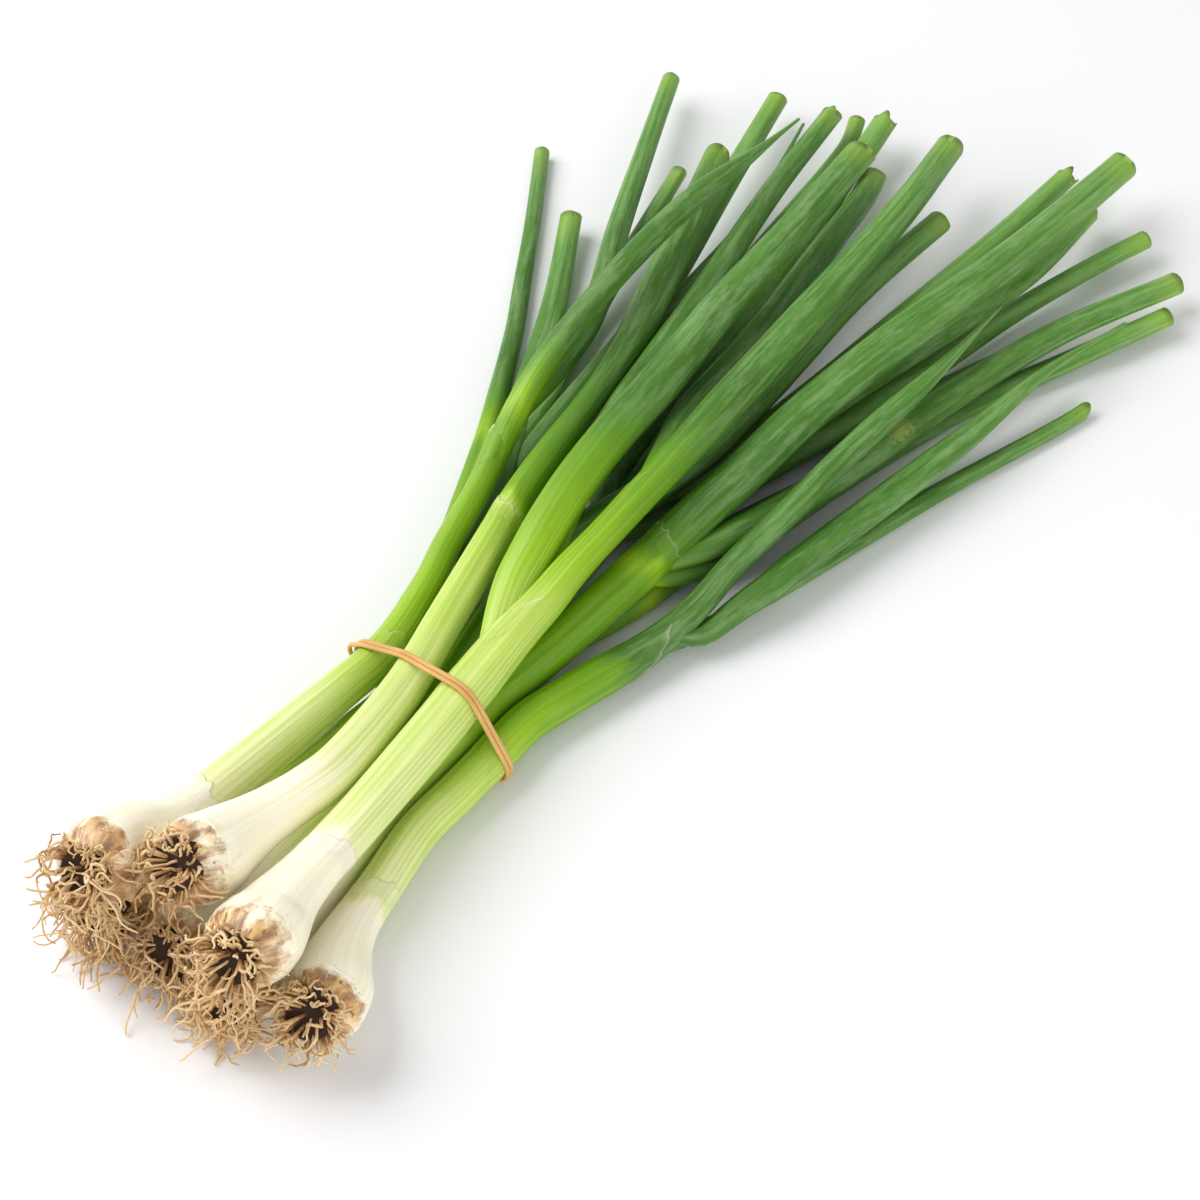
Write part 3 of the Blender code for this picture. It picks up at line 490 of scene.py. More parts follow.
def settle(strands):
    counts = [len(strand["points"]) for strand in strands]
    starts = np.cumsum([0] + counts)
    spans = [slice(a, b) for a, b in zip(starts, starts[1:])]
    place = np.vstack([strand["points"] for strand in strands])
    half = np.vstack([strand["half"] for strand in strands])
    strandOf = np.repeat(np.arange(len(strands)), counts)
    plantOf = np.repeat([strand["plant"] for strand in strands], counts)
    free = np.concatenate([strand["length"] if strand["parent"]
                           else np.full(len(strand["points"]), settling["noFork"])
                           for strand in strands])
    home = place.copy()
    sight = unit(home - np.array(plan["eye"]))
    inner = np.setdiff1d(np.arange(len(place)), np.concatenate([starts[:-1], starts[1:] - 1]))
    bend = (place[inner - 1] + place[inner + 1]) / 2 - place[inner]
    mainStart = {id(strand): span.start for strand, span in zip(strands, spans)}
    for turn in range(settling["turns"]):
        last = turn > settling["turns"] * settling["lastTurns"]
        if turn % settling["pairEvery"] == 0:
            first, second = closePairs(place, strandOf, plantOf, free)
        if not last:
            place[:, 2] -= settling["fall"]
        drift = home - place
        drift -= np.sum(drift * sight, axis=1, keepdims=True) * sight
        place += drift * settling["sightPull"][last]
        curve = (place[inner - 1] + place[inner + 1]) / 2 - place[inner] - bend
        place[inner] += curve * settling["bendPull"][last]
        pushApart(place, half, spans, first, second)
        for strand, span in zip(strands, spans):
            if strand["parent"]:
                root = mainStart[id(strand["parent"])] + strand["root"]
                joined = settling["joined"]
                place[span.start:span.start + joined] = place[root:root + joined]
            else:
                neck = span.start + settling["bulbSpots"]
                place[span.start:neck] = place[neck] + home[span.start:neck] - home[neck]
    for strand, span in zip(strands, spans):
        strand["points"] = place[span]
        strand["length"] = travelled(place[span])


strands = drawStrands()
settle(strands)
mains = [strand for strand in strands if strand["parent"] is None]
print("lines of", len(mains), "onions and", len(strands) - len(mains), "leaves settled")


# Shared makers of meshes and materials

weldReach = 1e-7    # metres

def tubeInto(work, rows, marks, layers):
    # A closed skin of rings: an open grid whose last column meets the first, poles drawn together later
    count, sides = rows.shape[:2]
    made = bmesh.ops.create_grid(work, x_segments=sides, y_segments=count - 1, size=1.0)["verts"]
    places = np.concatenate([rows, rows[:, :1]], axis=1).reshape(-1, 3)
    columns = {}
    for mark, values in marks.items():
        values = np.concatenate([values, values[:, :1]], axis=1)
        columns[mark] = values.reshape(len(places), -1)
    for k, vert in enumerate(made):
        vert.co = places[k]
        for mark, values in columns.items():
            vert[layers[mark]] = values[k, 0] if len(values[k]) == 1 else Vector(values[k])


def layerSet(work, names):
    layers = {}
    for name in names:
        kind = work.verts.layers.float_vector if name == "skin" else work.verts.layers.float
        layers[name] = kind.new(name)
    return layers


def finishPiece(name, work, material, nodes):
    bmesh.ops.remove_doubles(work, verts=work.verts, dist=weldReach)
    bmesh.ops.recalc_face_normals(work, faces=work.faces)
    for face in work.faces:
        face.smooth = True
    mesh = bpy.data.meshes.new(name)
    work.to_mesh(mesh)
    work.free()
    mesh.materials.append(material)
    piece = newObject(name, mesh)
    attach(piece, "root")
    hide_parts(*nodes)


def add(tree, kind, inputs=(), **settings):
    # A shader node with its settings. A socket given as an input is linked.
    made = tree.nodes.new("ShaderNode" + kind)
    for key, value in settings.items():
        setattr(made, key, value)
    for key, value in dict(inputs).items():
        if isinstance(value, bpy.types.NodeSocket):
            tree.links.new(value, made.inputs[key])
        else:
            made.inputs[key].default_value = value
    return made


def ramp(tree, share, stops):
    made = add(tree, "ValToRGB", {"Fac": share})
    band = made.color_ramp.elements
    while len(band) < len(stops):
        band.new(0.5)
    for element, (position, colour) in zip(band, stops):
        element.position = position
        element.color = (*colour, 1.0) if len(colour) == 3 else colour
    return made.outputs["Color"]


def mix(tree, share, first, second, blend="MIX"):
    made = add(tree, "Mix", {0: share, 6: first, 7: second}, data_type="RGBA", blend_type=blend)
    return made.outputs[2]


def maths(tree, operation, first, second, third=0.0):
    made = add(tree, "Math", {0: first, 1: second, 2: third}, operation=operation)
    return made.outputs[0]


def spanned(tree, value, low, high, start=0.0, end=1.0):
    made = add(tree, "MapRange", {"Value": value, "From Min": low, "From Max": high,
                                  "To Min": start, "To Max": end}, interpolation_type="SMOOTHSTEP")
    return made.outputs["Result"]


def noiseOn(tree, vector, stretch, detail=3.0, roughness=0.55):
    moved = add(tree, "VectorMath", {0: vector, 1: stretch}, operation="MULTIPLY").outputs[0]
    made = add(tree, "TexNoise", {"Vector": moved, "Scale": 1.0, "Detail": detail,
                                  "Roughness": roughness})
    return made.outputs["Fac"]


def varied(tree, noise, size, base):
    # A value that a noise moves up and down
    return maths(tree, "MULTIPLY_ADD", maths(tree, "SUBTRACT", noise, 0.5), size, base)


def dress(tree, shader, colour, height, strength, distance):
    # Colour and fine relief of a surface
    bump = add(tree, "Bump", {"Height": height, "Strength": strength, "Distance": distance})
    tree.links.new(colour, shader.inputs["Base Color"])
    tree.links.new(bump.outputs["Normal"], shader.inputs["Normal"])


def sRgb(red, green, blue):
    # Eight-bit display colour to the linear values that the shader takes
    values = [channel / 255 for channel in (red, green, blue)]
    return tuple(v / 12.92 if v <= 0.04045 else ((v + 0.055) / 1.055) ** 2.4 for v in values)


# Onions: bulb, stem and leaves

skinLook = {
    # white bulb to green leaf; the dark greens at 0.76 and 0.86 are the leaves' own green, darkened
    # further as painted shade
    "ramp": [(0.0, sRgb(255, 247, 226)), (0.12, sRgb(254, 246, 214)), (0.24, sRgb(226, 234, 160)),
             (0.36, sRgb(196, 218, 104)), (0.5, sRgb(150, 190, 24)), (0.62, sRgb(112, 160, 6)),
             (0.76, sRgb(84, 134, 16)), (0.86, sRgb(64, 110, 26)), (0.93, sRgb(80, 130, 42)),
             (1.0, sRgb(114, 164, 72))],
    "stain": [(0.36, sRgb(228, 186, 118)), (0.5, sRgb(196, 142, 74)), (0.64, sRgb(132, 86, 40))],
    "speck": sRgb(112, 74, 38),
    "dry": [(0.46, sRgb(248, 244, 210)), (0.62, sRgb(228, 210, 156)), (0.74, sRgb(180, 138, 84))],
    "inside": sRgb(172, 204, 66),
    "bloom": sRgb(146, 180, 120),
    "gloss": (0.24, 0.4),
    "relief": (0.4, 0.0005),      # strength and depth in metres
    "depth": {"Weight": 0.12, "Radius": (1.0, 0.9, 0.3), "Scale": 0.0018},
}

# Small blemishes: place, reach, colour and strength
blemishes = [
    ((107.1, -23.3, 16), 6.5, (196, 200, 104), 0.35),
    ((191.2, -15.4, 28), 1.6, (150, 104, 40), 0.9),
    ((198.6, -15.7, 27.5), 1.1, (140, 96, 40), 0.9),
    ((166.4, 77.7, 32), 1.4, (206, 190, 96), 0.8),
    ((169.8, -19.3, 27), 1, (170, 140, 60), 0.7),
    ((96.7, 68.4, 38), 1, (190, 205, 120), 0.6),
]


def blemished(tree, colour):
    place = add(tree, "TexCoord").outputs["Object"]
    for spot, reach, tone, strength in blemishes:
        centre = tuple(float(value) for value in toMetres(np.array(spot)))
        distance = add(tree, "VectorMath", {0: place, 1: centre}, operation="DISTANCE").outputs["Value"]
        rough = noiseOn(tree, place, (900.0, 900.0, 900.0), detail=2.0)
        edge = varied(tree, rough, reach / 600, distance)
        near = spanned(tree, edge, reach / 1000, reach / 3000, 0.0, strength)
        colour = mix(tree, near, colour, (*sRgb(*tone), 1.0))
    return colour


def shadeOf(tree, value):
    # A factor on a colour that pulls it towards green where it darkens
    mild = maths(tree, "MULTIPLY_ADD", value, 0.5, 0.5)
    strong = maths(tree, "POWER", value, 2.0)
    return add(tree, "CombineColor", {0: value, 1: mild, 2: strong}).outputs[0]


def makeSkin():
    made, tree, shader = newMaterial("onionSkin")
    skin = add(tree, "Attribute", attribute_name="skin").outputs["Vector"]
    green, rim, dry = [add(tree, "Attribute", attribute_name=name).outputs["Fac"]
                       for name in ("green", "rim", "dry")]
    height = add(tree, "SeparateXYZ", {0: skin}).outputs["Z"]
    grown = spanned(tree, height, 30.0, 75.0, 0.3, 1.0)
    leafy = spanned(tree, green, 0.62, 0.95)
    veins = noiseOn(tree, skin, (2.0, 2.0, 0.01), detail=1.0)
    streaks = noiseOn(tree, skin, (0.5, 0.5, 0.008))
    clouds = noiseOn(tree, skin, (0.14, 0.14, 0.035))
    flecks = noiseOn(tree, skin, (0.9, 0.9, 0.25), detail=4.0, roughness=0.6)
    spread = maths(tree, "MULTIPLY", maths(tree, "SUBTRACT", streaks, 0.5), grown)
    shift = maths(tree, "MULTIPLY_ADD", spread, 0.2, green)
    tint = varied(tree, clouds, 0.14, shift)
    colour = ramp(tree, tint, skinLook["ramp"])
    lines = maths(tree, "MULTIPLY_ADD", spanned(tree, veins, 0.32, 0.68, -0.19, 0.13), grown, 1.0)
    colour = mix(tree, 1.0, colour, shadeOf(tree, lines), "MULTIPLY")
    # waxy bloom on the leaves, mottled, and small folds across it
    mist = noiseOn(tree, skin, (0.45, 0.45, 0.05), detail=4.0)
    cover = varied(tree, flecks, 0.3, mist)
    waxy = maths(tree, "MULTIPLY", leafy, spanned(tree, cover, 0.4, 0.7, 0.0, 0.45))
    colour = mix(tree, waxy, colour, (*skinLook["bloom"], 1.0))
    fleck = maths(tree, "MULTIPLY_ADD", spanned(tree, flecks, 0.35, 0.68, -0.05, 0.05), leafy, 1.0)
    colour = mix(tree, 1.0, colour, shadeOf(tree, fleck), "MULTIPLY")
    # earth and old skin near the roots
    patches = noiseOn(tree, skin, (0.3, 0.3, 0.13), detail=5.0, roughness=0.66)
    soiled = maths(tree, "MULTIPLY_ADD", spanned(tree, height, 15.0, 0.0), 0.3, patches)
    earth = spanned(tree, soiled, 0.57, 0.8, 0.0, 0.9)
    stain = maths(tree, "MULTIPLY", earth, spanned(tree, height, 20.0, 8.0))
    grain = noiseOn(tree, skin, (0.6, 0.6, 0.2), detail=4.0)
    colour = mix(tree, stain, colour, ramp(tree, grain, skinLook["stain"]))
    dots = noiseOn(tree, skin, (0.8, 0.8, 0.5))
    near = spanned(tree, height, 24.0, 4.0)
    speck = spanned(tree, maths(tree, "MULTIPLY_ADD", near, 0.12, dots), 0.75, 0.82, 0.0, 0.8)
    colour = mix(tree, maths(tree, "MULTIPLY", speck, near), colour, (*skinLook["speck"], 1.0))
    colour = mix(tree, rim, colour, (*skinLook["inside"], 1.0))
    colour = mix(tree, dry, colour, ramp(tree, patches, skinLook["dry"]))
    colour = blemished(tree, colour)
    gloss = spanned(tree, green, 0.1, 0.9, *skinLook["gloss"])
    tree.links.new(maths(tree, "MULTIPLY_ADD", flecks, 0.16, gloss), shader.inputs["Roughness"])
    folds = maths(tree, "MULTIPLY", maths(tree, "MULTIPLY", flecks, leafy), 0.3)
    ribs = maths(tree, "MULTIPLY_ADD", veins, 0.6, maths(tree, "MULTIPLY", streaks, 0.7))
    dress(tree, shader, colour, maths(tree, "ADD", folds, ribs), *skinLook["relief"])
    for key, value in skinLook["depth"].items():
        shader.inputs["Subsurface " + key].default_value = value
    return made


form = {
    "seed": 7,
    "sides": 36,
    "leafSides": 28,
    "fineStep": 1.0,
    "smoothings": 3,
    "bulbStep": 1.2,          # spacing of the rings on the bulb
    "bulbLength": 66.0,
    "step": 3.0,              # and on the rest
    "wall": 0.7,
    # rings of a cut end and down its hollow: depth, share of the wall, how pale
    "cut": [(0.15, 0.2, 0.8), (0.2, 0.5, 0.9), (0.6, 1.0, 0.9), (8, 1.0, 0.8), (26.0, 1.0, 0.5)],
    "cutOblique": 5.0,        # rings less deep than this follow an oblique or torn end
    "slant": 3.5,
    "tear": 3.0,
    "blunt": 0.5,
    "lobes": [(2, 0.02), (3, 0.022), (5, 0.014), (8, 0.007)],
    "lobeTurn": 0.02,
    "lobeWave": (0.4, 37),
    "greenWaves": [(2.2, 2, 1), (1.2, 5, 2)],   # size, how many round the strand, turn by number
    "patternStep": 60,        # so far apart lie the strands' places in the pattern of the skin
    "tipGlow": (0.34, 16.0),  # how much paler a cut leaf is at its end, and over which length
}

# Outer skins that end on a stem: strand, where, how far they reach back, how oblique, the side
# that reaches furthest (90 is the top), how ragged, how high the edge stands off, how dry it is,
# and for some the side that shows it with half of its spread
sleeveKeys = ("strand", "to", "length", "slant", "turn", "ragged", "lift", "dry", "side", "spread")
sleeveRows = [
    ("onion_1", 47, 7, 2.0, 150, 1.2, 0.3, 0.9),
    ("onion_1", 126, 10, 3.5, 30, 0.8, 0.25, 0.25),
    ("onion_1", 211, 16, 3.0, 20, 0.8, 0.6, 1.0),
    ("onion_2", 170, 6, 2.0, 200, 0.8, 0.25, 0.8),
    ("onion_3", 49, 6, 2.5, -20, 0.5, 0.18, 0.7),
    ("onion_3", 146, 16, 11.0, 20, 0.4, 0.35, 0.9, 135, 75),
    ("onion_3", 204, 10, 8.0, 20, 0.4, 0.22, 0.3, 140, 60),
    ("onion_4", 52, 6, 2.5, 0, 0.5, 0.18, 0.7),
    ("onion_4", 108, 8, 3.5, 120, 0.8, 0.3, 0.45),
    ("onion_4", 166, 16, 10.0, 100, 0.5, 0.3, 0.6, 20, 75),
    ("onion_5", 198, 6, 1.5, 150, 0.7, 0.18, 0.5),
]
sleeves = [dict(zip(sleeveKeys, row)) for row in sleeveRows]

sleeveLook = {
    # rings from the near end to the far edge and back beneath it: share of the length, lift, dryness
    "rings": [(0.0, -0.5, 0.0), (0.12, 0.15, 0.0), (0.45, 0.5, 0.0), (0.8, 0.75, 0.05),
              (0.94, 0.9, 0.3), (1.0, 1.0, 1.0), (1.0, 0.3, 1.0), (0.97, -1.0, 0.6)],
    "worn": (0.5, 1.0),
    "fade": 0.4,          # how softly a sleeve ends beside the side that shows it
    "hidden": 0.5,        # so deep under the skin it lies elsewhere
    "paler": 2,           # its green is that of the stem so far nearer the roots
}


def atLength(strand, wanted):
    length = strand["length"]
    return columnsAt(wanted, length, strand["points"]), columnsAt(wanted, length, strand["half"])


def smoothLine(strand):
    # The settled line once more as a smooth curve, so that fine rings show no corners
    fine = curveThrough(strand["points"], form["fineStep"])
    length = travelled(fine)
    old = travelled(strand["points"])
    share = length / length[-1] * old[-1]
    half = columnsAt(share, old, strand["half"])
    for _ in range(form["smoothings"]):
        fine[1:-1] = (fine[:-2] + 2 * fine[1:-1] + fine[2:]) / 4
    return {"points": fine, "half": half, "length": travelled(fine)}


def endShift(end, angles):
    if end == "slant":
        return form["slant"] * (1 - np.sin(angles))
    if end == "torn":
        return form["tear"] * (1 + np.sin(3 * angles))
    return form["blunt"] * (1 - np.sin(angles))


def anglesRound(sides):
    return 2 * math.pi * (np.arange(sides) + 0.5) / sides - math.pi / 2


def patternPlace(strand, girth, angles, deep):
    # Where the skin's pattern is looked up: across the strand and along it
    across = girth * np.cos(angles) + form["patternStep"] * strand["number"]
    return np.stack(np.broadcast_arrays(across, girth * np.sin(angles), deep), axis=-1)


def strandInto(work, layers, strand, draw):
    line = smoothLine(strand)
    total = line["length"][-1]
    sides = form["sides"] if strand["parent"] is None else form["leafSides"]
    if strand["parent"] is None:
        bulb = np.arange(0, form["bulbLength"], form["bulbStep"])
        rest = np.arange(form["bulbLength"], total - 1, form["step"])
        stops = np.concatenate([bulb, rest, [total]])
    else:
        stops = np.concatenate([np.arange(settling["step"], total - 1, form["step"]), [total]])
    points, half = atLength(line, stops)
    along, side, rise = framesOf(points)
    angles = anglesRound(sides)
    swell = np.ones((len(stops), sides))
    for lobes, size in form["lobes"]:
        turn = draw.uniform(0, 2 * math.pi)
        turn += np.cumsum(draw.normal(0, form["lobeTurn"], len(stops)))
        share, spacing = form["lobeWave"]
        depth = size * (1 + share * np.sin(stops / spacing + draw.uniform(0, 6)))
        swell += depth[:, None] * np.cos(lobes * angles[None] + turn[:, None])
    across = (half[:, 0, None] * swell * np.cos(angles))[..., None] * side[:, None]
    up = (half[:, 1, None] * swell * np.sin(angles))[..., None] * rise[:, None]
    rows = points[:, None] + across + up
    rows[:, :, 2] = np.maximum(rows[:, :, 2], 0)
    deep = strand["from"] + stops
    waves = sum(size * np.sin(count * angles + turn * strand["number"])
                for size, count, turn in form["greenWaves"])
    green = readOff(onions[strand["plant"]]["green"], deep[:, None] + waves)
    girth = float(half[:, 0].mean())
    rim = np.zeros(len(stops))
    if strand["end"] == "point":
        tip = points[-1] + along[-1] * half[-1, 0] * 2
        rows = np.concatenate([rows, np.repeat(tip[None, None], sides, 1)])
        deep, green, rim = np.append(deep, deep[-1]), np.vstack([green, green[-1:]]), np.append(rim, 0)
    else:
        back = endShift(strand["end"], angles)[:, None] * along[-1]
        rows[-1] -= back
        inner = []
        for depth, wall, pale in form["cut"]:
            spot, size = atLength(line, np.array([total - depth]))
            size = size[0] - form["wall"] * wall
            ring = (spot + (size[0] * np.cos(angles))[:, None] * side[-1]
                    + (size[1] * np.sin(angles))[:, None] * rise[-1])
            inner.append(ring - back if depth < form["cutOblique"] else ring)
            rim = np.append(rim, pale)
        centre = inner[-1].mean(axis=0)
        inner.append(np.repeat(centre[None], sides, 0))
        rim = np.append(rim, pale)
        rows = np.concatenate([rows, np.array(inner)])
        deep = np.append(deep, np.full(len(inner), deep[-1]))
        green = np.vstack([green, np.repeat(green[-1:], len(inner), 0)])
        paler, over = form["tipGlow"]
        rim[:len(stops)] = paler * ease(1 - (total - stops) / over)
    rows = np.concatenate([np.repeat(points[:1, None], sides, 1), rows])
    deep, rim = np.insert(deep, 0, deep[0]), np.insert(rim, 0, rim[0])
    green = np.vstack([green[:1], green])
    marks = {"skin": patternPlace(strand, girth, angles, deep[:, None]), "green": green,
             "rim": np.repeat(rim[:, None], sides, 1), "dry": np.zeros(green.shape)}
    tubeInto(work, toMetres(rows), marks, layers)
    for sleeve in sleeves:
        if sleeve["strand"] == strand["name"]:
            sleeveInto(work, layers, strand, sleeve, line, stops, swell, draw)


def sleeveInto(work, layers, strand, sleeve, line, stops, swell, draw):
    # A thin ring of outer skin on a strand, its far edge oblique and ragged
    sides = swell.shape[1]
    angles = anglesRound(sides)
    oblique = sleeve["slant"] * np.cos(angles - math.radians(sleeve["turn"]))
    edge = sleeve["to"] - strand["from"] + oblique
    edge += draw.normal(0, sleeve["ragged"], sides)
    worn = draw.uniform(*sleeveLook["worn"], sides)
    shown = np.ones(sides)
    if "side" in sleeve:
        turned = np.cos(angles - math.radians(sleeve["side"]))
        shown = ease((turned - math.cos(math.radians(sleeve["spread"]))) / sleeveLook["fade"])
    sideways, upright = framesOf(line["points"])[1:]
    rows, skins, greens, dries = [], [], [], []
    for share, lift, dry in sleeveLook["rings"]:
        spots = edge - sleeve["length"] * (1 - share)
        points, half = atLength(line, spots)
        scale = np.array([np.interp(spots[k], stops, swell[:, k]) for k in range(sides)])
        side = columnsAt(spots, line["length"], sideways)
        rise = columnsAt(spots, line["length"], upright)
        stand = lift * sleeve["lift"] * shown - sleeveLook["hidden"] * (1 - shown)
        out = half * scale[:, None] + stand[:, None]
        across = (out[:, 0] * np.cos(angles))[:, None] * side
        ring = points + across + (out[:, 1] * np.sin(angles))[:, None] * rise
        ring[:, 2] = np.maximum(ring[:, 2], 0)
        rows.append(ring)
        deep = strand["from"] + spots
        girth = float(half[:, 0].mean())
        skins.append(patternPlace(strand, girth, angles, deep))
        greens.append(readOff(onions[strand["plant"]]["green"], deep - sleeveLook["paler"]))
        dries.append(dry * sleeve["dry"] * worn)
    for values in (rows, skins, greens, dries):
        values.append(values[0])
    marks = {"skin": np.array(skins), "green": np.array(greens),
             "rim": np.zeros((len(rows), sides)), "dry": np.array(dries)}
    tubeInto(work, toMetres(np.array(rows)), marks, layers)


def makeOnions():
    skin = makeSkin()
    for number, strand in enumerate(strands):
        strand["number"] = number
    for main in mains:
        draw = np.random.default_rng(form["seed"] + main["plant"])
        for strand in [strand for strand in strands if strand["plant"] == main["plant"]]:
            work = bmesh.new()
            layers = layerSet(work, ("skin", "green", "rim", "dry"))
            strandInto(work, layers, strand, draw)
            name = strand["name"] + "_stem" if strand["parent"] is None else strand["name"]
            finishPiece(name, work, skin, [main["name"]])


makeOnions()
print("onions dressed")


# Roots

roots = {
    # how many fine roots each onion has, with the shortest and the longest
    "tufts": [(105, 7, 20), (95, 4, 11), (100, 5, 14), (90, 4, 11), (110, 7, 18), (110, 7, 20),
              (110, 7, 20)],
    "seed": 90,
    "steps": 10,
    "ring": (0.8, 6.8),
    "sunk": 0.8,            # so deep in the onion's base a root starts
    "firstStep": 1.2,
    "ahead": (0.5, 1.2),
    "outward": (0.1, 0.9),
    "thickness": (1.0, 0.5),
    "thickShare": (0.7, 1.2),
    "tone": (0.4, 1.0),
    "curl": 0.42,
    "curlKept": 0.6,
    "spread": 0.08,
    "droop": 0.22,
    "upperLoss": 0.6,       # the topmost roots are this much shorter
    "relief": (0.6, 0.0003),
    "sides": 5,
    # painted shade where the roots crowd at the plate
    "startPaintedShade": 0.35,         # at the start of a root
    "bulbSpots": 12,        # a root keeps off the other onions up to this spot of their lines
    "clearance": 0.5,
    "lowest": 0.4,
    # tan fibre colours; the plate and the root starts, darkened as painted shade, fall on the darkest
    # stops
    "fibre": [(0.0, sRgb(58, 36, 20)), (0.3, sRgb(150, 108, 62)), (0.55, sRgb(212, 172, 118)),
              (1.0, sRgb(240, 212, 166))],
    # the root plate's rings: depth behind its face and radius
    "plate": [(0.5, 0.0), (0.4, 2.6), (0.0, 5.0), (-0.5, 6.2), (0.8, 7.2), (2.4, 7.6)],
    "plateFace": 0.9,
    "plateBack": 2.5,
    "plateSides": 24,
    "plateWobble": 0.08,
    # how dark the plate is: painted shade in the crater among the roots, on top of its own brown
    "platePaintedShade": -0.3,
}


def makeFibre():
    made, tree, shader = newMaterial("rootFibre")
    shade = add(tree, "Attribute", attribute_name="shade").outputs["Fac"]
    place = add(tree, "TexCoord").outputs["Object"]
    grain = noiseOn(tree, place, (900.0, 900.0, 900.0), detail=4.0, roughness=0.7)
    tone = varied(tree, grain, 0.9, shade)
    shader.inputs["Roughness"].default_value = 0.8
    dress(tree, shader, ramp(tree, tone, roots["fibre"]), grain, *roots["relief"])
    return made


def rootInto(work, layers, line, thick, sides, shade):
    side, rise = framesOf(line)[1:]
    angles = 2 * math.pi * np.arange(sides) / sides
    ring = (np.cos(angles)[None, :, None] * side[:, None]
            + np.sin(angles)[None, :, None] * rise[:, None])
    rows = line[:, None] + ring * (thick / 2)[:, None, None]
    first, last = [np.repeat(end[None, None], sides, 1) for end in (line[0], line[-1])]
    rows = np.concatenate([first, rows, last])
    marks = {"shade": np.full(rows.shape[:2], shade)}
    # the first rings darker: painted shade where the root meets the plate
    marks["shade"][:3] -= roots["startPaintedShade"]
    tubeInto(work, toMetres(rows), marks, layers)


def keepClear(point, number):
    # Holds a root off the surface and out of the other onions' bulbs
    for other, main in enumerate(mains):
        body = main["points"][:roots["bulbSpots"]]
        half = main["half"][:roots["bulbSpots"], 0] + roots["clearance"]
        away = point - body
        distance = np.linalg.norm(away, axis=1)
        short = half - distance
        worst = int(np.argmax(short))
        if short[worst] > 0 and (other != number or worst > 0):
            point = point + away[worst] / distance[worst] * short[worst]
    point[2] = max(point[2], roots["lowest"])
    return point


def makeRoots():
    fibre = makeFibre()
    bases = [(main["points"][0], -framesOf(main["points"])[0][0]) for main in mains]
    for number, (base, out) in enumerate(bases):
        draw = np.random.default_rng(roots["seed"] + number)
        side = unit(np.cross(out, (0, 0, 1)))
        rise = np.cross(side, out)
        work = bmesh.new()
        layers = layerSet(work, ("shade",))
        sides = roots["plateSides"]
        angles = 2 * math.pi * np.arange(sides) / sides
        rows = []
        for depth, radius in roots["plate"]:
            uneven = draw.uniform(-roots["plateWobble"], roots["plateWobble"], sides)
            wobble = 1 + uneven * (radius > 1)
            spoke = np.cos(angles)[:, None] * side + np.sin(angles)[:, None] * rise
            centre = base + out * (roots["plateFace"] - depth)
            rows.append(centre + spoke * (radius * wobble)[:, None])
        rows.append(np.repeat((base - out * roots["plateBack"])[None], sides, 0))
        # the plate darkened as painted shade in the middle of the tuft
        shade = np.full((len(rows), sides), roots["platePaintedShade"])
        tubeInto(work, toMetres(np.array(rows)), {"shade": shade}, layers)
        count, shortest, longest = roots["tufts"][number]
        for _ in range(count):
            turn = draw.uniform(0, 2 * math.pi)
            spoke = side * math.cos(turn) + rise * math.sin(turn)
            ringed = math.sqrt(draw.uniform(0, 1))
            inner, outer = roots["ring"]
            radius = inner + (outer - inner) * ringed
            reach = draw.uniform(shortest, longest) * (1 - roots["upperLoss"] * max(spoke[2], 0))
            point = base + spoke * radius - out * roots["sunk"]
            least, more = roots["outward"]
            heading = unit(out * draw.uniform(*roots["ahead"]) + spoke * (least + more * ringed))
            line = [point, point + heading * roots["firstStep"]]
            curl = draw.normal(0, roots["curl"], 3)
            for _ in range(roots["steps"]):
                curl = roots["curlKept"] * curl + draw.normal(0, roots["curl"], 3)
                bent = heading + curl + spoke * roots["spread"]
                heading = unit(bent - np.array((0, 0, roots["droop"])))
                line.append(keepClear(line[-1] + heading * reach / roots["steps"], number))
            line = np.array(line)
            thick = np.linspace(*roots["thickness"], len(line)) * draw.uniform(*roots["thickShare"])
            rootInto(work, layers, line, thick, roots["sides"], draw.uniform(*roots["tone"]))
        name = str(number + 1)
        finishPiece("rootTuft_" + name, work, fibre, ["roots_" + name])


makeRoots()
print("roots grown")


# Rubber band

bandLook = {
    "face": sRgb(224, 178, 104),
    "edge": sRgb(196, 144, 76),
    "relief": (0.25, 0.0001),
    "step": 1.5,
    "sides": 16,
    "square": 0.6,          # how square its section is, 1 for an ellipse
    "wider": 1.15,
}


def makeRubber():
    made, tree, shader = newMaterial("tanRubber")
    place = add(tree, "TexCoord").outputs["Object"]
    cloud = noiseOn(tree, place, (90.0, 90.0, 90.0))
    grain = noiseOn(tree, place, (2500.0, 2500.0, 2500.0), detail=2.0)
    face, edge = (*bandLook["face"], 1.0), (*bandLook["edge"], 1.0)
    colour = mix(tree, spanned(tree, cloud, 0.3, 0.7, 0.0, 0.6), face, edge)
    tree.links.new(spanned(tree, cloud, 0.2, 0.8, 0.4, 0.55), shader.inputs["Roughness"])
    dress(tree, shader, colour, grain, *bandLook["relief"])
    return made


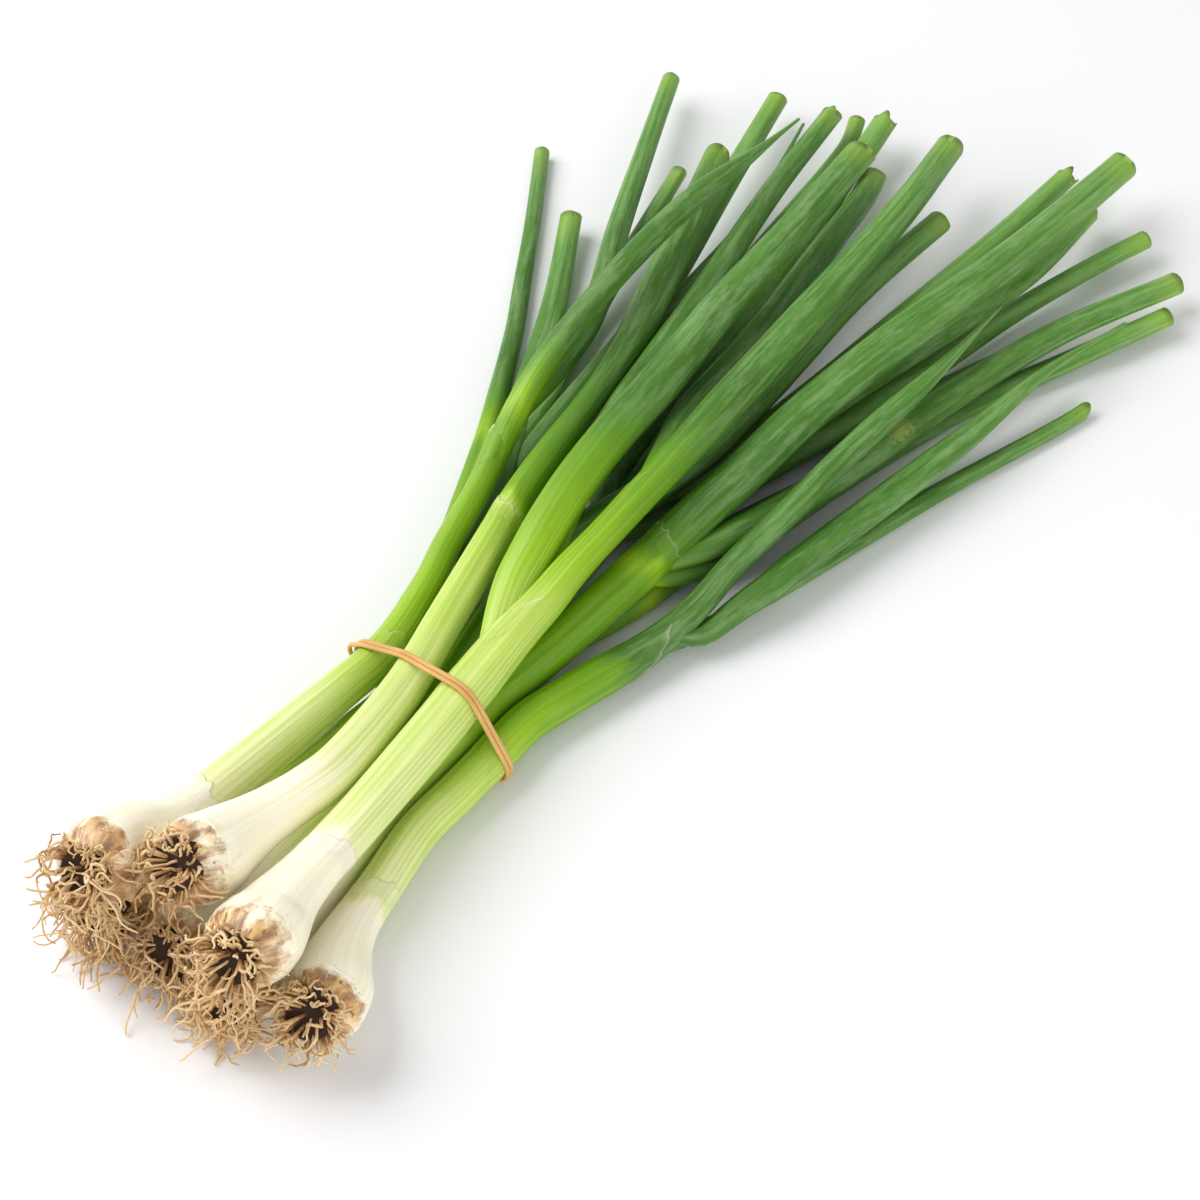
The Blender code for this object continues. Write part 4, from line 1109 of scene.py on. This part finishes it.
def bandLoop():
    # The taut line round the stems, from the outlines of the stems that it passes
    circles = []
    for strand in strands:
        points = strand["points"]
        if points[:, 0].min() > band["place"]:
            continue
        along = framesOf(points)[0]
        for place in (band["place"] - band["reach"], band["place"], band["place"] + band["reach"]):
            y, z = [np.interp(place, points[:, 0], points[:, axis]) for axis in (1, 2)]
            circles.append((y, z, np.interp(place, points[:, 0], strand["half"][:, 0] / along[:, 0])))
    circles = np.array(circles)
    loop, outward = [], []
    for angle in np.radians(np.arange(361) + band["crossingAngle"]):
        normal = np.array((math.cos(angle), math.sin(angle)))
        best = circles[int(np.argmax(circles[:, :2] @ normal + circles[:, 2]))]
        loop.append(best[:2] + normal * (best[2] + band["clearance"] + band["thickness"] / 2))
        outward.append(normal)
    return np.array(loop), np.array(outward)


def makeBand():
    loop, outward = bandLoop()
    length = np.concatenate([[0], np.cumsum(np.linalg.norm(np.diff(loop, axis=0), axis=1))])
    total = length[-1]
    stops = np.arange(0, 2 * total - 0.5, bandLook["step"])
    offset = (band["width"] + band["gap"]) / 2
    lift = band["thickness"] + band["gap"]
    section = []
    for k in range(bandLook["sides"]):
        angle = 2 * math.pi * (k + 0.5) / bandLook["sides"]
        section.append([math.copysign(abs(part) ** bandLook["square"], part) / 2
                        for part in (math.cos(angle), math.sin(angle))])
    rows = []
    for stop in stops:
        turn = stop >= total
        past = stop % total
        gone = past if past < total / 2 else past - total
        y, z, ny, nz = [np.interp(past, length, row) for row in (*loop.T, *outward.T)]
        normal = unit(np.array((0, ny, nz)))
        lane = 1 if turn == (past < total / 2) else 0
        crossed = ease(gone / band["crossingLength"] + 0.5)
        shift = offset * (1 - 2 * crossed) * (1 if lane else -1)
        rise = lift * ease((band["crossing"] - abs(gone)) / band["crossingRamp"]) * lane
        centre = np.array((band["place"] + shift, y, z)) + normal * rise
        rows.append([centre + np.array((band["width"] * u * bandLook["wider"], 0, 0))
                     + normal * band["thickness"] * v for u, v in section])
    work = bmesh.new()
    rows = np.array(rows)
    made = bmesh.ops.create_grid(work, x_segments=bandLook["sides"], y_segments=len(rows),
                                 size=1.0)["verts"]
    closed = np.concatenate([rows, rows[:1]])
    closed = toMetres(np.concatenate([closed, closed[:, :1]], axis=1).reshape(-1, 3))
    for vert, place in zip(made, closed):
        vert.co = place
    finishPiece("rubberBand", work, makeRubber(), ["rubber_band"])


makeBand()
print("band wound")
